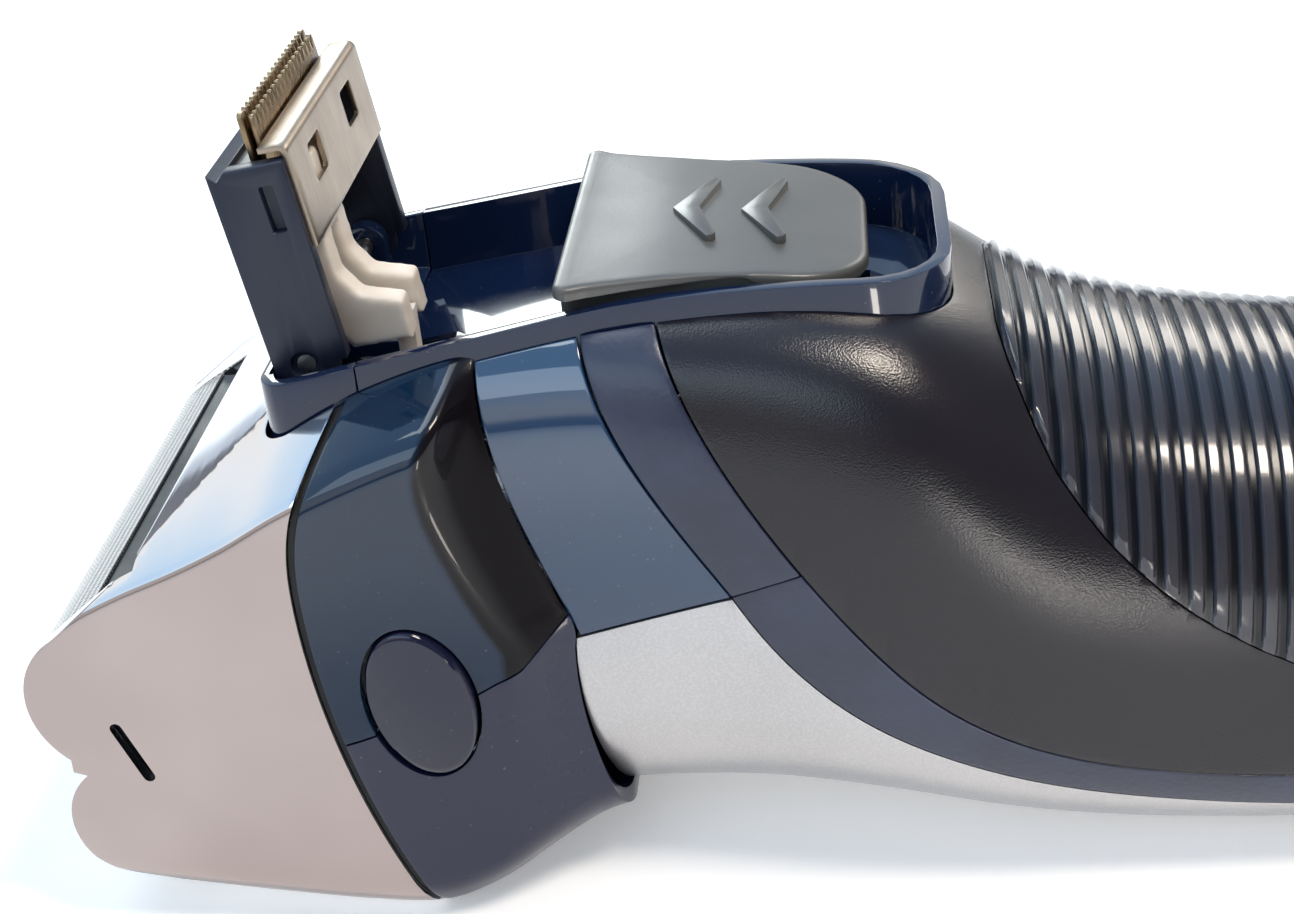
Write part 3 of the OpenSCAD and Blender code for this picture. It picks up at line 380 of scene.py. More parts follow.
mirror = finish_of("mirror chrome", wipe=(45.0, 0.03, 0.1), skin=(34.0, 0.0, 0.12, 0.0004),
    Base_Color=(0.86, 0.86, 0.88), Metallic=1.0)[0]
cheek = finish_of("satin chrome", cloud=(45.0, 2.0, (0.40, 0.332, 0.312), (0.455, 0.38, 0.358)),
    wipe=(80.0, 0.2, 0.25), skin=(5200.0, 2.0, 0.08, 0.00001), Metallic=1.0)[0]

PLACES, STATIONS = 120, 54
HEAD_FRONT, HEAD_DEPTH = -81, 40.5
CHEEK_INSIDE, CHEEK_FROM = 25.6, 26.5
places = [-0.999 + 1.998 * i / PLACES for i in range(PLACES + 1)]
stations = [HEAD_FRONT + HEAD_DEPTH * i / STATIONS for i in range(STATIONS + 1)]
head_frame = rolled("head_frame_chrome", [[head_point(x, a, soft=1.0) for a in places] for x in stations])
lobes = arc(REAR_LOBE, 122, 232) + [(-76.9, 18.6)] + arc(FRONT_LOBE, 128, 262)
carve(head_frame, side_block(lobes + [(-40, -2), (-40, 62)], 60), "INTERSECT")
FRAME_SEAM = bow((-41.4, -2), (-47.2, 9), (-51.6, 24), (-51.6, 38))
FRAME_SEAM += bow((-51.6, 38), (-51.6, 46), (-49.5, 50.5), (-42, 60))[1:]
carve(head_frame, side_block(FRAME_SEAM + [(-90, 60), (-90, -2)], 61), "INTERSECT")
BACK_PLATE, FLOOR_WALL, ROOF_WALL = -67.1, 2.2, 1.4
hollow = [(-90, -5), (-67.4, -5)]
hollow += [(x, along(HEAD_UNDERSIDE, x) + FLOOR_WALL) for x in (-67.4, -58, -48, -38)]
hollow += [(x, along(HEAD_CREST, x) - ROOF_WALL) for x in (-38, -46, -56, BACK_PLATE)]
carve(head_frame, side_block(hollow + [(BACK_PLATE, 70), (-90, 70)], CHEEK_INSIDE))
carve(head_frame, plan_block(lip_outline(0.5, -30), 30, 70))
LATCH_TOP, LATCH_FOOT, LATCH_RADIUS = (-71.5, 23.7), (-69.3, 18.2), 0.62
lean = math.degrees(math.atan2(LATCH_FOOT[1] - LATCH_TOP[1], LATCH_FOOT[0] - LATCH_TOP[0]))
latch = arc((*LATCH_FOOT, LATCH_RADIUS), lean - 90, lean + 90, 9)
latch += arc((*LATCH_TOP, LATCH_RADIUS), lean + 90, lean + 270, 9)
for side in (-1, 1):
    carve(head_frame, block("cutter", latch, (0, 6, 0), lambda p: (p[0], side * 27.5 - 3, p[1])))
ease(head_frame, 0.18, limit=35)
finished(head_frame, mirror, "head_frame", "polished_chrome", "head_frame")
head_frame.data.materials.append(cheek)
for face in head_frame.data.polygons:
    if abs(face.normal.y) > 0.75 and abs(face.center.y) > CHEEK_FROM * MM:
        face.material_index = 1

# ---------------- foils and what they cover
# Each foil is a thin sheet of electroformed steel, etched with fine hexagonal holes and bowed over
# its cutter. A black moulded cassette holds both; the cutters are rows of ground steel lamellae.
FOIL_HALF, FOIL_THICK, FOIL_STEPS = 24.8, 0.25, 24


def stretched(tree, at, scale):
    """A place squeezed along some axes, so that a pattern on it runs in lines."""
    return node(tree, "ShaderNodeMapping", Vector=at, Scale=scale).outputs["Vector"]


foil_steel, tree, shader = finish_of("perforated foil", Metallic=1.0)
holes_across = stretched(tree, node(tree, "ShaderNodeTexCoord").outputs["UV"], (82, 42, 1))
cells = node(tree, "ShaderNodeTexVoronoi", {"feature": "DISTANCE_TO_EDGE"}, Vector=holes_across,
    Scale=1.0, Randomness=0.12).outputs["Distance"]
holes = ramp(tree, cells, [(0.16, 1.0), (0.26, 0.0)])
feed(shader, Base_Color=blend_colours(tree, holes, (0.30, 0.31, 0.31), (0.78, 0.78, 0.75)),
    Roughness=ramp(tree, cells, [(0.16, 0.22), (0.26, 0.5)]))


def outward(piece, centre):
    """Turns an open sheet so that its faces point away from the centre line."""
    middle = Vector((0, 0, centre * MM))
    faces = piece.data.polygons
    if sum(face.normal.dot((face.center - middle) * Vector((0, 1, 1))) * face.area for face in faces) < 0:
        piece.data.flip_normals()


def foil(name, stands_for, centre, radius, start, stop, tail):
    """A bowed foil with a straight tail."""
    line = arc((centre[0], centre[1], radius), start, stop)
    tangent = Vector((line[-1][0] - line[-2][0], line[-1][1] - line[-2][1])).normalized() * tail
    line += [(line[-1][0] + tangent.x * k / 4, line[-1][1] + tangent.y * k / 4) for k in range(1, 5)]
    across = [-FOIL_HALF + 2 * FOIL_HALF * j / FOIL_STEPS for j in range(FOIL_STEPS + 1)]
    piece = sheet(name, [[(x, y, z) for y in across] for x, z in line])
    outward(piece, centre[1])
    shape(piece, "SOLIDIFY", thickness=FOIL_THICK * MM, offset=-1.0)
    bpy.ops.object.shade_smooth_by_angle(angle=math.radians(30))
    finished(piece, foil_steel, "foil_set", "foil_steel", stands_for)


foil("foil_rear_sheet", "foil_rear", REAR_LOBE, 7.9, 236, 119, 3.3)
foil("foil_front_sheet", "foil_front", FRONT_LOBE, 6.8, 134, 262, 5.4)


def matt(name, tone, low, high):
    """Matt moulded plastic with a fine spark-eroded skin."""
    return finish_of(name, wipe=(70.0, low, high), skin=(2600.0, 3.0, 0.15, 0.00003), Base_Color=tone)[0]


def paint(material, *names):
    """Gives CAD solids a finish."""
    for name in names:
        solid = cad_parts[name]
        solid.data.materials.clear()
        solid.data.materials.append(material)


inner_black = matt("inner moulding", (0.02, 0.022, 0.024), 0.42, 0.6)
paint(inner_black, "foil_cassette", "slide_carrier", "power_switch", "charging_socket", "chassis")
steel, tree, shader = finish_of("ground steel", Base_Color=(0.6, 0.6, 0.6), Metallic=1.0)
lines = noise(tree, 500.0, 3.0, at=stretched(tree, spot(tree), (1, 12, 1)))
feed(shader, Roughness=ramp(tree, lines, [(0.3, 0.2), (0.7, 0.42)]))
paint(steel, "cutter_rear", "cutter_front", "motor", "battery_tabs", "chassis_screws", "end_screws")

# ---------------- head shells
# Two injection-moulded ABS halves, polished to a high gloss, clip together round the drive. The
# upper one carries the crest and steps down in a hollow curve to the neck; a matt black gasket
# closes the gap to the head frame.
BODY_HALF_WIDTH = [(-38, 22.2), (-26, 22.6), (-12, 23.8), (2, 25.8), (14, 26.2), (30, 25.4), (50, 24.4),
    (66, 23.4), (76, 22.2), (88, 20.4)]
BODY_TOP = [(-38, 58), (-24, 59.8), (-10, 60.2), (0, 59.4), (5, 58.2), (10, 55.8), (16, 52.3), (22, 49.7),
    (30, 47.7), (42, 46.1), (60, 45), (76, 43.6), (88, 42)]
BODY_BOTTOM = [(-38, 3.6), (-26, 4.9), (-12, 5.6), (0, 4.8), (14, 2.4), (28, 0.8), (44, 0.15), (60, 0.05),
    (72, 0.9), (88, 3)]
BODY_SQUARENESS = [(-38, 5), (-14, 4.4), (4, 3.4), (12, 2.8), (20, 2.5), (50, 2.35), (88, 2.4)]
BELLY_SQUARENESS = [(-38, 3.8), (-14, 3.6), (10, 3.5), (40, 3.6), (70, 3.4), (88, 3)]
CREST_EDGE = bow((-34.2, 62), (-34.4, 50), (-31.4, 42), (-26.6, 29))
LOWER_EDGE = bow((-26.6, 33), (-28, 25), (-27.6, 16), (-21.8, 2))
SPLIT = [(-49.12, 21.9), (-47.5, 22.4), (-36.4, 26.2), (-31.9, 27.9), (-29, 30.4), (-26, 33)]
STEP_WIDTH = [(10, 7.4), (28, 6.9), (32, 7.2), (40, 7.3), (46, 7.2), (49.3, 6.6), (51.9, 5.6), (53.7, 4.4),
    (55.5, 3.0), (58, 2.4), (66, 2.4)]
STEP_FOOT, STEP_KNEE, KNEE_RISE = 7.6, 4.3, 0.715
WALL = 1.5


def head_side(x, z, soft=2.2):
    """Section place (0 to 1) on the head's flank at height z."""
    low = along(HEAD_UNDERSIDE, x) + HEAD_CORNER
    high = along(HEAD_CREST, x) - soft
    return CORNER_END + 0.33 * min(max((z - low) / (high - low), 0.0), 1.0)


def head_roof(x, y, soft=2.2):
    """Section place (0 to 1) on the head's roof at half width y."""
    top = along(HEAD_HALF_WIDTH, x) - CREST_INSET
    return RIDGE_END + 0.35 * (1 - min(y / (top - soft), 1.0))


def body_point(x, t, out=0.0):
    """Point of the handle's skin at x; t is the angle round it in degrees, 0 at the left, 90 on top."""
    w = along(BODY_HALF_WIDTH, x) + out
    top, low = along(BODY_TOP, x) + out, along(BODY_BOTTOM, x) - out
    t = t % 360
    power = 2 / along(BODY_SQUARENESS if t < 180 else BELLY_SQUARENESS, x)
    c, s = math.cos(math.radians(t)), math.sin(math.radians(t))
    y, z = (math.copysign(abs(v)**power, v) for v in (c, s))
    return (x, w * y, (top + low) / 2 + (top - low) / 2 * z)


def body_angle(x, z):
    """Angle round the right-hand side (-Y) of the handle at height z."""
    top, low = along(BODY_TOP, x), along(BODY_BOTTOM, x)
    lift = (z - (top + low) / 2) / ((top - low) / 2)
    law = BODY_SQUARENESS if lift > 0 else BELLY_SQUARENESS
    angle = math.degrees(math.asin(min(abs(lift), 1.0)**(along(law, x) / 2)))
    return 180 - angle if lift > 0 else 180 + angle


def patch(point, x_low, x_high, a_low, a_high, nu, nv):
    """Rows of points over a skin between two side-view lines and two section places."""
    rows = []
    for j in range(nv + 1):
        row = []
        x = (x_low(40) + x_high(40)) / 2
        for i in range(nu + 1):
            for _ in range(10):
                a = a_low(x) * (1 - j / nv) + a_high(x) * j / nv
                z = point(x, a)[2]
                x = x_low(z) * (1 - i / nu) + x_high(z) * i / nu
            row.append(point(x, a))
        rows.append(row)
    return rows


def shelled(name, rows, thick=WALL, centre=32.0):
    """A moulded wall under a sheet of points."""
    piece = sheet(name, rows)
    outward(piece, centre)
    shape(piece, "SOLIDIFY", thickness=thick * MM, offset=-1.0, use_even_offset=True)
    return piece


def joined(name, *pieces):
    """One object out of several meshes."""
    pick(*pieces)
    bpy.ops.object.join()
    pieces[0].name = name
    return pieces[0]


def edge(line, gap):
    """A side-view line's x at height z, moved by a gap."""
    return lambda z: read(line, z, 1) + gap


def rear_edge(z):
    """Rear edge of the head shells at height z: the lower shell's line turns into the crest's."""
    if z > 33:
        return read(CREST_EDGE, z, 1)
    if z < 28:
        return read(LOWER_EDGE, z, 1)
    k = (z - 28) / 5
    return read(LOWER_EDGE, z, 1) * (1 - k) + read(CREST_EDGE, z, 1) * k


def shell_point(x, a):
    """The head's skin with its crest: full width to a rounded ridge, then a steep step down to the neck."""
    x0, y, z = head_point(x, a)
    width = along(STEP_WIDTH, z)
    back = (rear_edge(z) - x) * STEP_FOOT / width
    if back >= STEP_FOOT or z < 13:
        return (x0, y, z)
    if back < STEP_KNEE:
        part = max(back, 0.0) / STEP_KNEE
        rise = KNEE_RISE * (0.72 * part + 0.28 * part**2)
    else:
        rise = 1 - (1 - KNEE_RISE) * ((STEP_FOOT - back) / (STEP_FOOT - STEP_KNEE))**2
    full = abs(head_point(rear_edge(z) - width, a)[1])
    beside = min(z, along(BODY_TOP, x) - 1.2)
    neck = abs(body_point(x, body_angle(x, beside))[1]) + 0.2
    drop = max(full - neck, 0.0) * (1 - rise)
    part = min((z - 13) / 13, 1.0)
    return (x0, math.copysign(abs(y) + (full - drop - abs(y)) * part, y), z)


def lacquer(name, tone, dust_scale, dust_amount, wipe, flow=0.0, settled=(0.30, 0.33, 0.38), **values):
    """Polished plastic: an even gloss with wipe marks and settled dust, and a little wavy with flow."""
    made, tree, shader = finish_of(name, skin=(flow, 1.0, 0.12, 0.0004) if flow else None, **values)
    colour = blend_colours(tree, effect(tree, dust, Scale=dust_scale, Amount=dust_amount), tone, settled)
    gloss = wiped(tree, *wipe)
    feed(shader, Base_Color=colour, Roughness=gloss)
    return made, tree, shader, colour, gloss


def polished(name, tone, **values):
    """The lacquer of the head and the bay."""
    return lacquer(name, tone, 1500.0, 0.3, (55.0, 0.09, 0.2), flow=40.0, Coat_Weight=1.0,
        Coat_Roughness=0.04, **values)


gloss_black = polished("polished black", (0.006, 0.015, 0.050), Coat_IOR=1.5, Specular_IOR_Level=0.12)[0]

# The step behind the crest is satin, and its colour is darkened to near black there as painted shade:
# it starts along the ridge line, which is drawn here as a ramp of x over height, and its gloss fades
# again towards the neck and the shell's foot.
crest_black, tree, shader, colour, gloss = polished(
    "polished black, satin step, painted shade", (0.006, 0.021, 0.050), Coat_IOR=1.55, Specular_IOR_Level=0.1)
RIDGE_LOW, RIDGE_HIGH, RIDGE_FRONT, RIDGE_REAR = 26, 58, -50, -20
at = node(tree, "ShaderNodeSeparateXYZ", Vector=spot(tree)).outputs
height = scaled(tree, at["Z"], (RIDGE_LOW * MM, RIDGE_HIGH * MM))
heights = (RIDGE_LOW, RIDGE_HIGH, 30, 34, 38, 42, 45, 47.5, 49.5, 51.5, 53.5, 55.5)
ridge = [(z, rear_edge(z) - along(STEP_WIDTH, z) + 0.55) for z in heights]
ridge = [((z - RIDGE_LOW) / (RIDGE_HIGH - RIDGE_LOW), (x - RIDGE_FRONT) / (RIDGE_REAR - RIDGE_FRONT))
         for z, x in ridge]
line = ramp(tree, height, ridge)
place = scaled(tree, at["X"], (RIDGE_FRONT * MM, RIDGE_REAR * MM))
past = reckon(tree, "SUBTRACT", place, line)
step_satin_and_shade_mask = scaled(tree, past, (-0.012, 0.02), smooth=True)
step_coat = scaled(tree, step_satin_and_shade_mask, (0.0, 1.0), (1.0, 0.42))
face_coat = scaled(tree, past, (0.06, 0.11), (1.0, 0.12), smooth=True)
foot_coat = scaled(tree, at["Z"], (0.025, 0.046), (0.42, 1.0), smooth=True)
# Painted shade: the step's base colour goes from navy to near black across the step mask.
feed(shader, Base_Color=blend_colours(tree, step_satin_and_shade_mask, colour, (0.004, 0.0025, 0.004)),
    Coat_Weight=reckon(tree, "MULTIPLY", reckon(tree, "MULTIPLY", step_coat, face_coat), foot_coat),
    Roughness=scaled(tree, step_satin_and_shade_mask, (0.0, 1.0), (gloss, 0.27)))

BUTTON_X, BUTTON_Z, BUTTON_LEAN = -41.3, 26.1, math.radians(9)
BUTTON_HALF_WIDTH, BUTTON_HALF_HEIGHT = 4.95, 8.15


def button_oval(grow, n=72):
    """The release button's outline, grown by a gap."""
    return [((BUTTON_HALF_WIDTH + grow) * math.cos(2 * math.pi * k / n),
             (BUTTON_HALF_HEIGHT + grow) * math.sin(2 * math.pi * k / n)) for k in range(n)]


def on_button(p, side, y):
    """A corner of the release button's oval, leaning with the frame."""
    return (BUTTON_X + p[0] * math.cos(BUTTON_LEAN) - p[1] * math.sin(BUTTON_LEAN), side * y,
            BUTTON_Z + p[0] * math.sin(BUTTON_LEAN) + p[1] * math.cos(BUTTON_LEAN))


def button_hole(side):
    return block("cutter", button_oval(0.35), (0, side * 20, 0), lambda p: on_button(p, side, 18))


def split_place(x, gap):
    """Section place of the line between the two shells, moved by half its gap."""
    return head_side(x, read(SPLIT, x, 0) + gap)


flanks = []
front_edge = edge(FRAME_SEAM, GASKET + SEAM)
for side in (-1, 1):
    rows = patch(lambda x, a: shell_point(x, a * side), front_edge, rear_edge,
        lambda x: split_place(x, SEAM), lambda x: head_roof(x, rim_half(x) + 0.3), 60, 56)
    flank = shelled("flank", rows)
    carve(flank, button_hole(side))
    ease(flank, 0.16)
    flanks.append(flank)
finished(joined("head_shell_upper", *flanks), crest_black, "housing", "gloss_black", "upper_head_shell")

rows = patch(shell_point, front_edge, rear_edge, lambda x: -split_place(x, -SEAM),
    lambda x: split_place(x, -SEAM), 44, 120)
lower_shell = shelled("head_shell_lower", rows, centre=24.0)
for side in (-1, 1):
    carve(lower_shell, button_hole(side))
ease(lower_shell, 0.16)
satin_black = lacquer("satin black", (0.010, 0.012, 0.042), 1300.0, 0.3, (60.0, 0.2, 0.32),
    Coat_Weight=0.5, Coat_Roughness=0.14, Coat_IOR=1.5, Specular_IOR_Level=0.3)[0]
finished(lower_shell, satin_black, "housing", "satin_black", "lower_head_shell")

rubber = matt("gasket rubber", (0.006, 0.006, 0.006), 0.6, 0.75)
paint(rubber, "socket_seal")
rows = patch(lambda x, a: head_point(x, a, -0.45), edge(FRAME_SEAM, 0.06), edge(FRAME_SEAM, 0.76),
    lambda x: -head_roof(x, rim_half(x) + 0.5), lambda x: head_roof(x, rim_half(x) + 0.5), 3, 160)
gasket = shelled("frame_gasket", rows, 1.6, centre=24.0)
ease(gasket, 0.08)
finished(gasket, rubber, "housing", "seal_rubber", "head_gasket")

# ---------------- release buttons
# An oval push button in each flank lets the head frame go. It is a glossy moulding with a slightly
# domed face, and sits in its hole with an even gap.
BUTTON_EDGE = [(0.90, 22.0), (0.98, 22.0), (1, 22.6), (1, 28.5), (0.985, 28.75), (0.955, 28.92)]
DOME_RINGS, DOME_RISE = 14, 0.5
dome = [1 - k / DOME_RINGS for k in range(1, DOME_RINGS)]
dome = [(BUTTON_EDGE[-1][0] * share, BUTTON_EDGE[-1][1] + DOME_RISE * (1 - share**2)) for share in dome]
button_gloss = lacquer("button gloss", (0.010, 0.011, 0.034), 1500.0, 0.35, (70.0, 0.14, 0.24),
    Coat_Weight=1.0, Coat_Roughness=0.05, Coat_IOR=1.48, Specular_IOR_Level=0.1)[0]
for side, name in ((-1, "left"), (1, "right")):
    rings = [[on_button((x * scale, z * scale), side, y) for x, z in button_oval(0)]
             for scale, y in BUTTON_EDGE + dome]
    button = rolled("release_button_" + name + "_cap", rings)
    bpy.ops.object.shade_smooth_by_angle(angle=math.radians(35))
    finished(button, button_gloss, "release_" + name, "satin_black", "release_button_" + name)

# ---------------- neck panels and side bands
# Each side of the neck has a polished panel set flush into the housing, and a band with a fine
# moulded texture that starts beside it and sweeps down the handle.
COVER_CORNER = (-11.9, 33.7)
COVER_EDGE = [(-30, 28.05)] + bow(COVER_CORNER, (-5.5, 22), (6, 11.5), (40, 8)) + [(84, 7.4)]
BAND_INNER = bow((-25.4, 63), (-24, 52), (-18, 43), COVER_CORNER)
BAND_OUTER = bow((-19.4, 65), (-16, 52), (-7, 37), (3.2, 25.9))
BAND_OUTER += bow((3.2, 25.9), (12, 16.5), (24, 13), (42, 12.2))[1:] + [(84, 11.4)]
BAND_TURN = (-5.5, 36.8)
BAND_STEPS = 14
END = 72.88


def bay_angle(x, gap=0.15):
    """Angle round the right-hand side of the handle where it meets the trimmer bay."""
    reach = (rim_half(x) + gap) / along(BODY_HALF_WIDTH, x)
    return 180 - math.degrees(math.acos(min(reach, 1.0)**(along(BODY_SQUARENESS, x) / 2)))


def cover_angle(x, gap):
    """Angle round the right-hand side of the handle at the front cover's edge."""
    return body_angle(x, read(COVER_EDGE, x, 0) + gap)


def mirrored(rows):
    return [[(x, -y, z) for x, y, z in row] for row in rows]


def moved(line, dx, dz=0.0):
    return [(p[0] + dx, p[1] + dz) for p in line]


neck_gloss, tree, shader, colour, gloss = lacquer(
    "neck gloss", (0.014, 0.048, 0.115), 1700.0, 0.25, (50.0, 0.08, 0.17), 35.0, (0.3, 0.35, 0.42),
    Coat_Weight=1.0, Coat_Roughness=0.04, Coat_IOR=1.9, Specular_IOR_Level=0.12)
height = node(tree, "ShaderNodeSeparateXYZ", Vector=spot(tree)).outputs["Z"]
feed(shader, Coat_Weight=scaled(tree, height, (0.034, 0.054), (0.6, 1.0), smooth=True))
panel_rows = patch(body_point, edge(CREST_EDGE, SEAM), edge(BAND_INNER, -SEAM),
    lambda x: cover_angle(x, SEAM), bay_angle, 36, 44)
for name, rows in (("left", panel_rows), ("right", mirrored(panel_rows))):
    panel = shelled("neck_panel_" + name + "_skin", rows)
    ease(panel, 0.14)
    finished(panel, neck_gloss, "housing", "gloss_black", "neck_panel_" + name)


def ribbon(low, high, n):
    """Equal numbers of points along two side-view lines, by their share of the way."""
    def walk(line):
        steps = [0.0]
        for p, q in zip(line, line[1:]):
            steps.append(steps[-1] + math.dist(p, q))
        points = []
        for k in range(n + 1):
            goal = steps[-1] * k / n
            i = max(j for j in range(len(line) - 1) if steps[j] <= goal + 1e-9)
            u = min((goal - steps[i]) / (steps[i + 1] - steps[i]), 1.0)
            points.append(tuple(a + u * (b - a) for a, b in zip(line[i], line[i + 1])))
        return points
    return list(zip(walk(low), walk(high)))


def bay_start(line):
    """The side-view line from where it meets the trimmer bay."""
    def below_bay(p):
        return body_point(p[0], bay_angle(p[0]))[2] > p[1]
    kept = [p for p in line if below_bay(p)]
    above = [p for p in line if p not in kept][-1]
    for _ in range(20):
        middle = tuple((a + b) / 2 for a, b in zip(above, kept[0]))
        if below_bay(middle):
            kept[0] = middle
        else:
            above = middle
    return kept


inner = [p for p in bay_start(moved(BAND_INNER, SEAM)) if p[1] > COVER_CORNER[1] + 0.1]
outer = bay_start(moved(BAND_OUTER, -SEAM))
cover = [(x, z + SEAM) for x, z in COVER_EDGE[1:] if x < END]
turn = min(range(len(outer)), key=lambda i: math.dist(outer[i], BAND_TURN))
step = math.dist(outer[turn], outer[turn - 1])
end_cut = tuple(p + (q - p) * 0.12 / step for p, q in zip(outer[turn], outer[turn - 1]))
upper_part = ribbon(inner + [(cover[0][0] - 0.07, cover[0][1] + 0.1)], outer[:turn] + [end_cut], 30)
swept = [p for p in outer[turn:] if p[0] < END] + [(END, read(outer, END, 0))]
lower_part = ribbon(cover + [(END, 7.4 + SEAM)], swept, 90)


def band_rows(part, crown):
    """Rows across a band, a little crowned between its two edges."""
    rows = []
    for a, b in part:
        row = []
        for j in range(BAND_STEPS + 1):
            x, z = (p + (q - p) * j / BAND_STEPS for p, q in zip(a, b))
            row.append(body_point(x, body_angle(x, z), 0.1 + crown * (1 - (2 * j / BAND_STEPS - 1)**4)))
        rows.append(row)
    return rows


weave, tree, shader = finish_of("textured band", Coat_Weight=0.35, Coat_Roughness=0.22,
    cloud=(120.0, 4.0, (0.012, 0.017, 0.042), (0.028, 0.038, 0.078), (0.3, 0.72)))
pebble = node(tree, "ShaderNodeTexVoronoi", {"feature": "SMOOTH_F1"}, Vector=spot(tree), Scale=1900.0,
    Randomness=1.0).outputs["Distance"]
feed(shader, Roughness=clouded(tree, 120.0, 4.0, 0.34, 0.5, (0.3, 0.72)),
    Normal=embossed(tree, pebble, 0.5, 0.00008))
band_parts = [band_rows(upper_part, 0.16), band_rows(lower_part, 0.0)]
for name, turned in (("left", lambda rows: rows), ("right", mirrored)):
    band = joined("side_band_" + name + "_skin", *[shelled("band", turned(part)) for part in band_parts])
    ease(band, 0.16, steps=3)
    finished(band, weave, "housing", "textured_band", "side_band_" + name)

# ---------------- front cover
# The cover of the shaver's front wraps the underside. It is a moulding sprayed with satin silver
# lacquer, and carries the power button and the lens of the charge lamp.
BUTTON_HOLE = (26, 0, 6.85)
LAMP_HOLE = (38, 0, 1.6)
rows = patch(body_point, edge(LOWER_EDGE, SEAM), lambda z: END, lambda x: cover_angle(x, -SEAM),
    lambda x: 540 - cover_angle(x, -SEAM), 130, 90)
front_cover = shelled("front_cover_skin", rows)
for hole, corners in ((BUTTON_HOLE, 64), (LAMP_HOLE, 32)):
    carve(front_cover, plan_block(arc(hole, 0, 360, corners)[:-1], -4, 9))
ease(front_cover, 0.15)
silver, tree, shader = finish_of("satin silver lacquer", wipe=(60.0, 0.27, 0.34),
    skin=(4200.0, 2.0, 0.1, 0.00002), Metallic=0.9, Coat_Weight=0.2, Coat_Roughness=0.2)
tint = clouded(tree, 40.0, 3.0, (0.47, 0.457, 0.455), (0.53, 0.515, 0.513))
flake = clouded(tree, 4200.0, 2.0, 0.0, 0.16, (0.45, 0.6))
feed(shader, Base_Color=blend_colours(tree, flake, tint, (0.8, 0.8, 0.8)))
finished(front_cover, silver, "housing", "satin_silver", "front_cover")

# ---------------- main shell and end cap
# The back of the handle is moulded in brown-black plastic with a leather-like spark-eroded
# texture. It closes round the trimmer bay and the grip; a screwed cap closes the handle's end.
GRIP_END, GRIP_LOW = 68.0, 19.0
GRIP_EDGE = [(13, 66), (13.1, 54.6), (13.3, 53.4), (13.93, 52), (14.84, 50.1), (15.9, 47.85), (17.7, 44.3),
    (19.86, 41.2), (21.95, 38.5), (24.3, 36), (26.7, 33.7), (29.1, 31.7), (31.4, 30), (35.6, 27.3),
    (40, 25), (45, 22.9), (52, 20.9), (60, 19.6), (GRIP_END, GRIP_LOW)]
CAP_INSETS = [(73, 1.0), (73, 0.12), (73.12, 0), (76.5, 0.1), (77.6, 0.3), (78.5, 0.7), (79.2, 1.25),
    (79.7, 1.9), (79.95, 2.5), (80, 3)]
SOCKET_HEIGHT, SOCKET_HOLE = 24, 5
SCREW_OFF, SCREW_HOLE, SCREW_HEAD = 12, 1.3, 2.4
hide, tree, shader = finish_of("textured brown-black", wipe=(45.0, 0.23, 0.28),
    cloud=(60.0, 3.0, (0.0085, 0.0065, 0.010), (0.014, 0.0115, 0.016), (0.3, 0.72)))
pores = node(tree, "ShaderNodeTexVoronoi", {"feature": "SMOOTH_F1"}, Vector=spot(tree), Scale=5600.0,
    Randomness=1.0, Smoothness=0.5).outputs["Distance"]
grain = reckon(tree, "MULTIPLY_ADD", noise(tree, 6400.0, 3.0), 0.35, pores)
feed(shader, Normal=embossed(tree, grain, 0.34, 0.00005))


def bay_outline(grow, x0):
    """Plan of the trimmer bay, grown by a gap: a tapering rim with two rounded rear corners."""
    corner = 9
    x = 9.4 - corner
    edge = [(x0, rim_half(x0) + grow)] + arc((x, rim_half(x) - corner, corner + grow), 87, 2, 17)
    return edge + [(x, -y) for x, y in reversed(edge)]


AROUND, LENGTHWISE = 160, 110
around = [2.25 + 360 * k / AROUND for k in range(AROUND)]


def tube(name, start, length, out):
    """The handle's skin as a closed solid, grown by out."""
    stations = [start + length * i / LENGTHWISE for i in range(LENGTHWISE + 1)]
    return rolled(name, [[body_point(x, t, out) for t in around] for x in stations])


shell = tube("main_shell_skin", -22, 94.88, 0.0)
carve(shell, tube("cutter", -24, 99, -WALL))
flank = moved(BAND_OUTER, SEAM) + [(84, 66), (GRIP_END + SEAM, 66)] + moved(GRIP_EDGE, -SEAM, -SEAM)[::-1]
carve(shell, side_block(flank, 60), "INTERSECT")
carve(shell, plan_block(bay_outline(0.1, -60), 40, 80))
ease(shell, 0.1)
finished(shell, hide, "housing", "textured_black", "main_shell")

cap = rolled("end_cap_skin", [[body_point(x, t, -inset) for t in around] for x, inset in CAP_INSETS])


def bore(y, radius, x):
    """A round cutter from x out through the cap's end."""
    ring = arc((y, SOCKET_HEIGHT, radius), 0, 360, 64)[:-1]
    return block("cutter", ring, (84 - x, 0, 0), lambda p: (x, p[0], p[1]))


carve(cap, bore(0, SOCKET_HOLE, 70))
for side in (-1, 1):
    carve(cap, bore(side * SCREW_OFF, SCREW_HOLE, 70))
    carve(cap, bore(side * SCREW_OFF, SCREW_HEAD, 77.8))
ease(cap, 0.12)
finished(cap, hide, "housing", "textured_black", "end_cap")

# ---------------- grip
# A clear, smoke-tinted grip is moulded with polished ribs across it and glued over the back of
# the handle, so light runs along the ribs and glints in the grooves.
GRIP_START, FIRST_RIB, PITCH, RIB = 12.4, 13.6, 2.2, 0.62
ROWS_PER_RIB, ROUND_GRIP = 16, 72


def held(value):
    """The value, kept between 0 and 1."""
    return min(max(value, 0.0), 1.0)


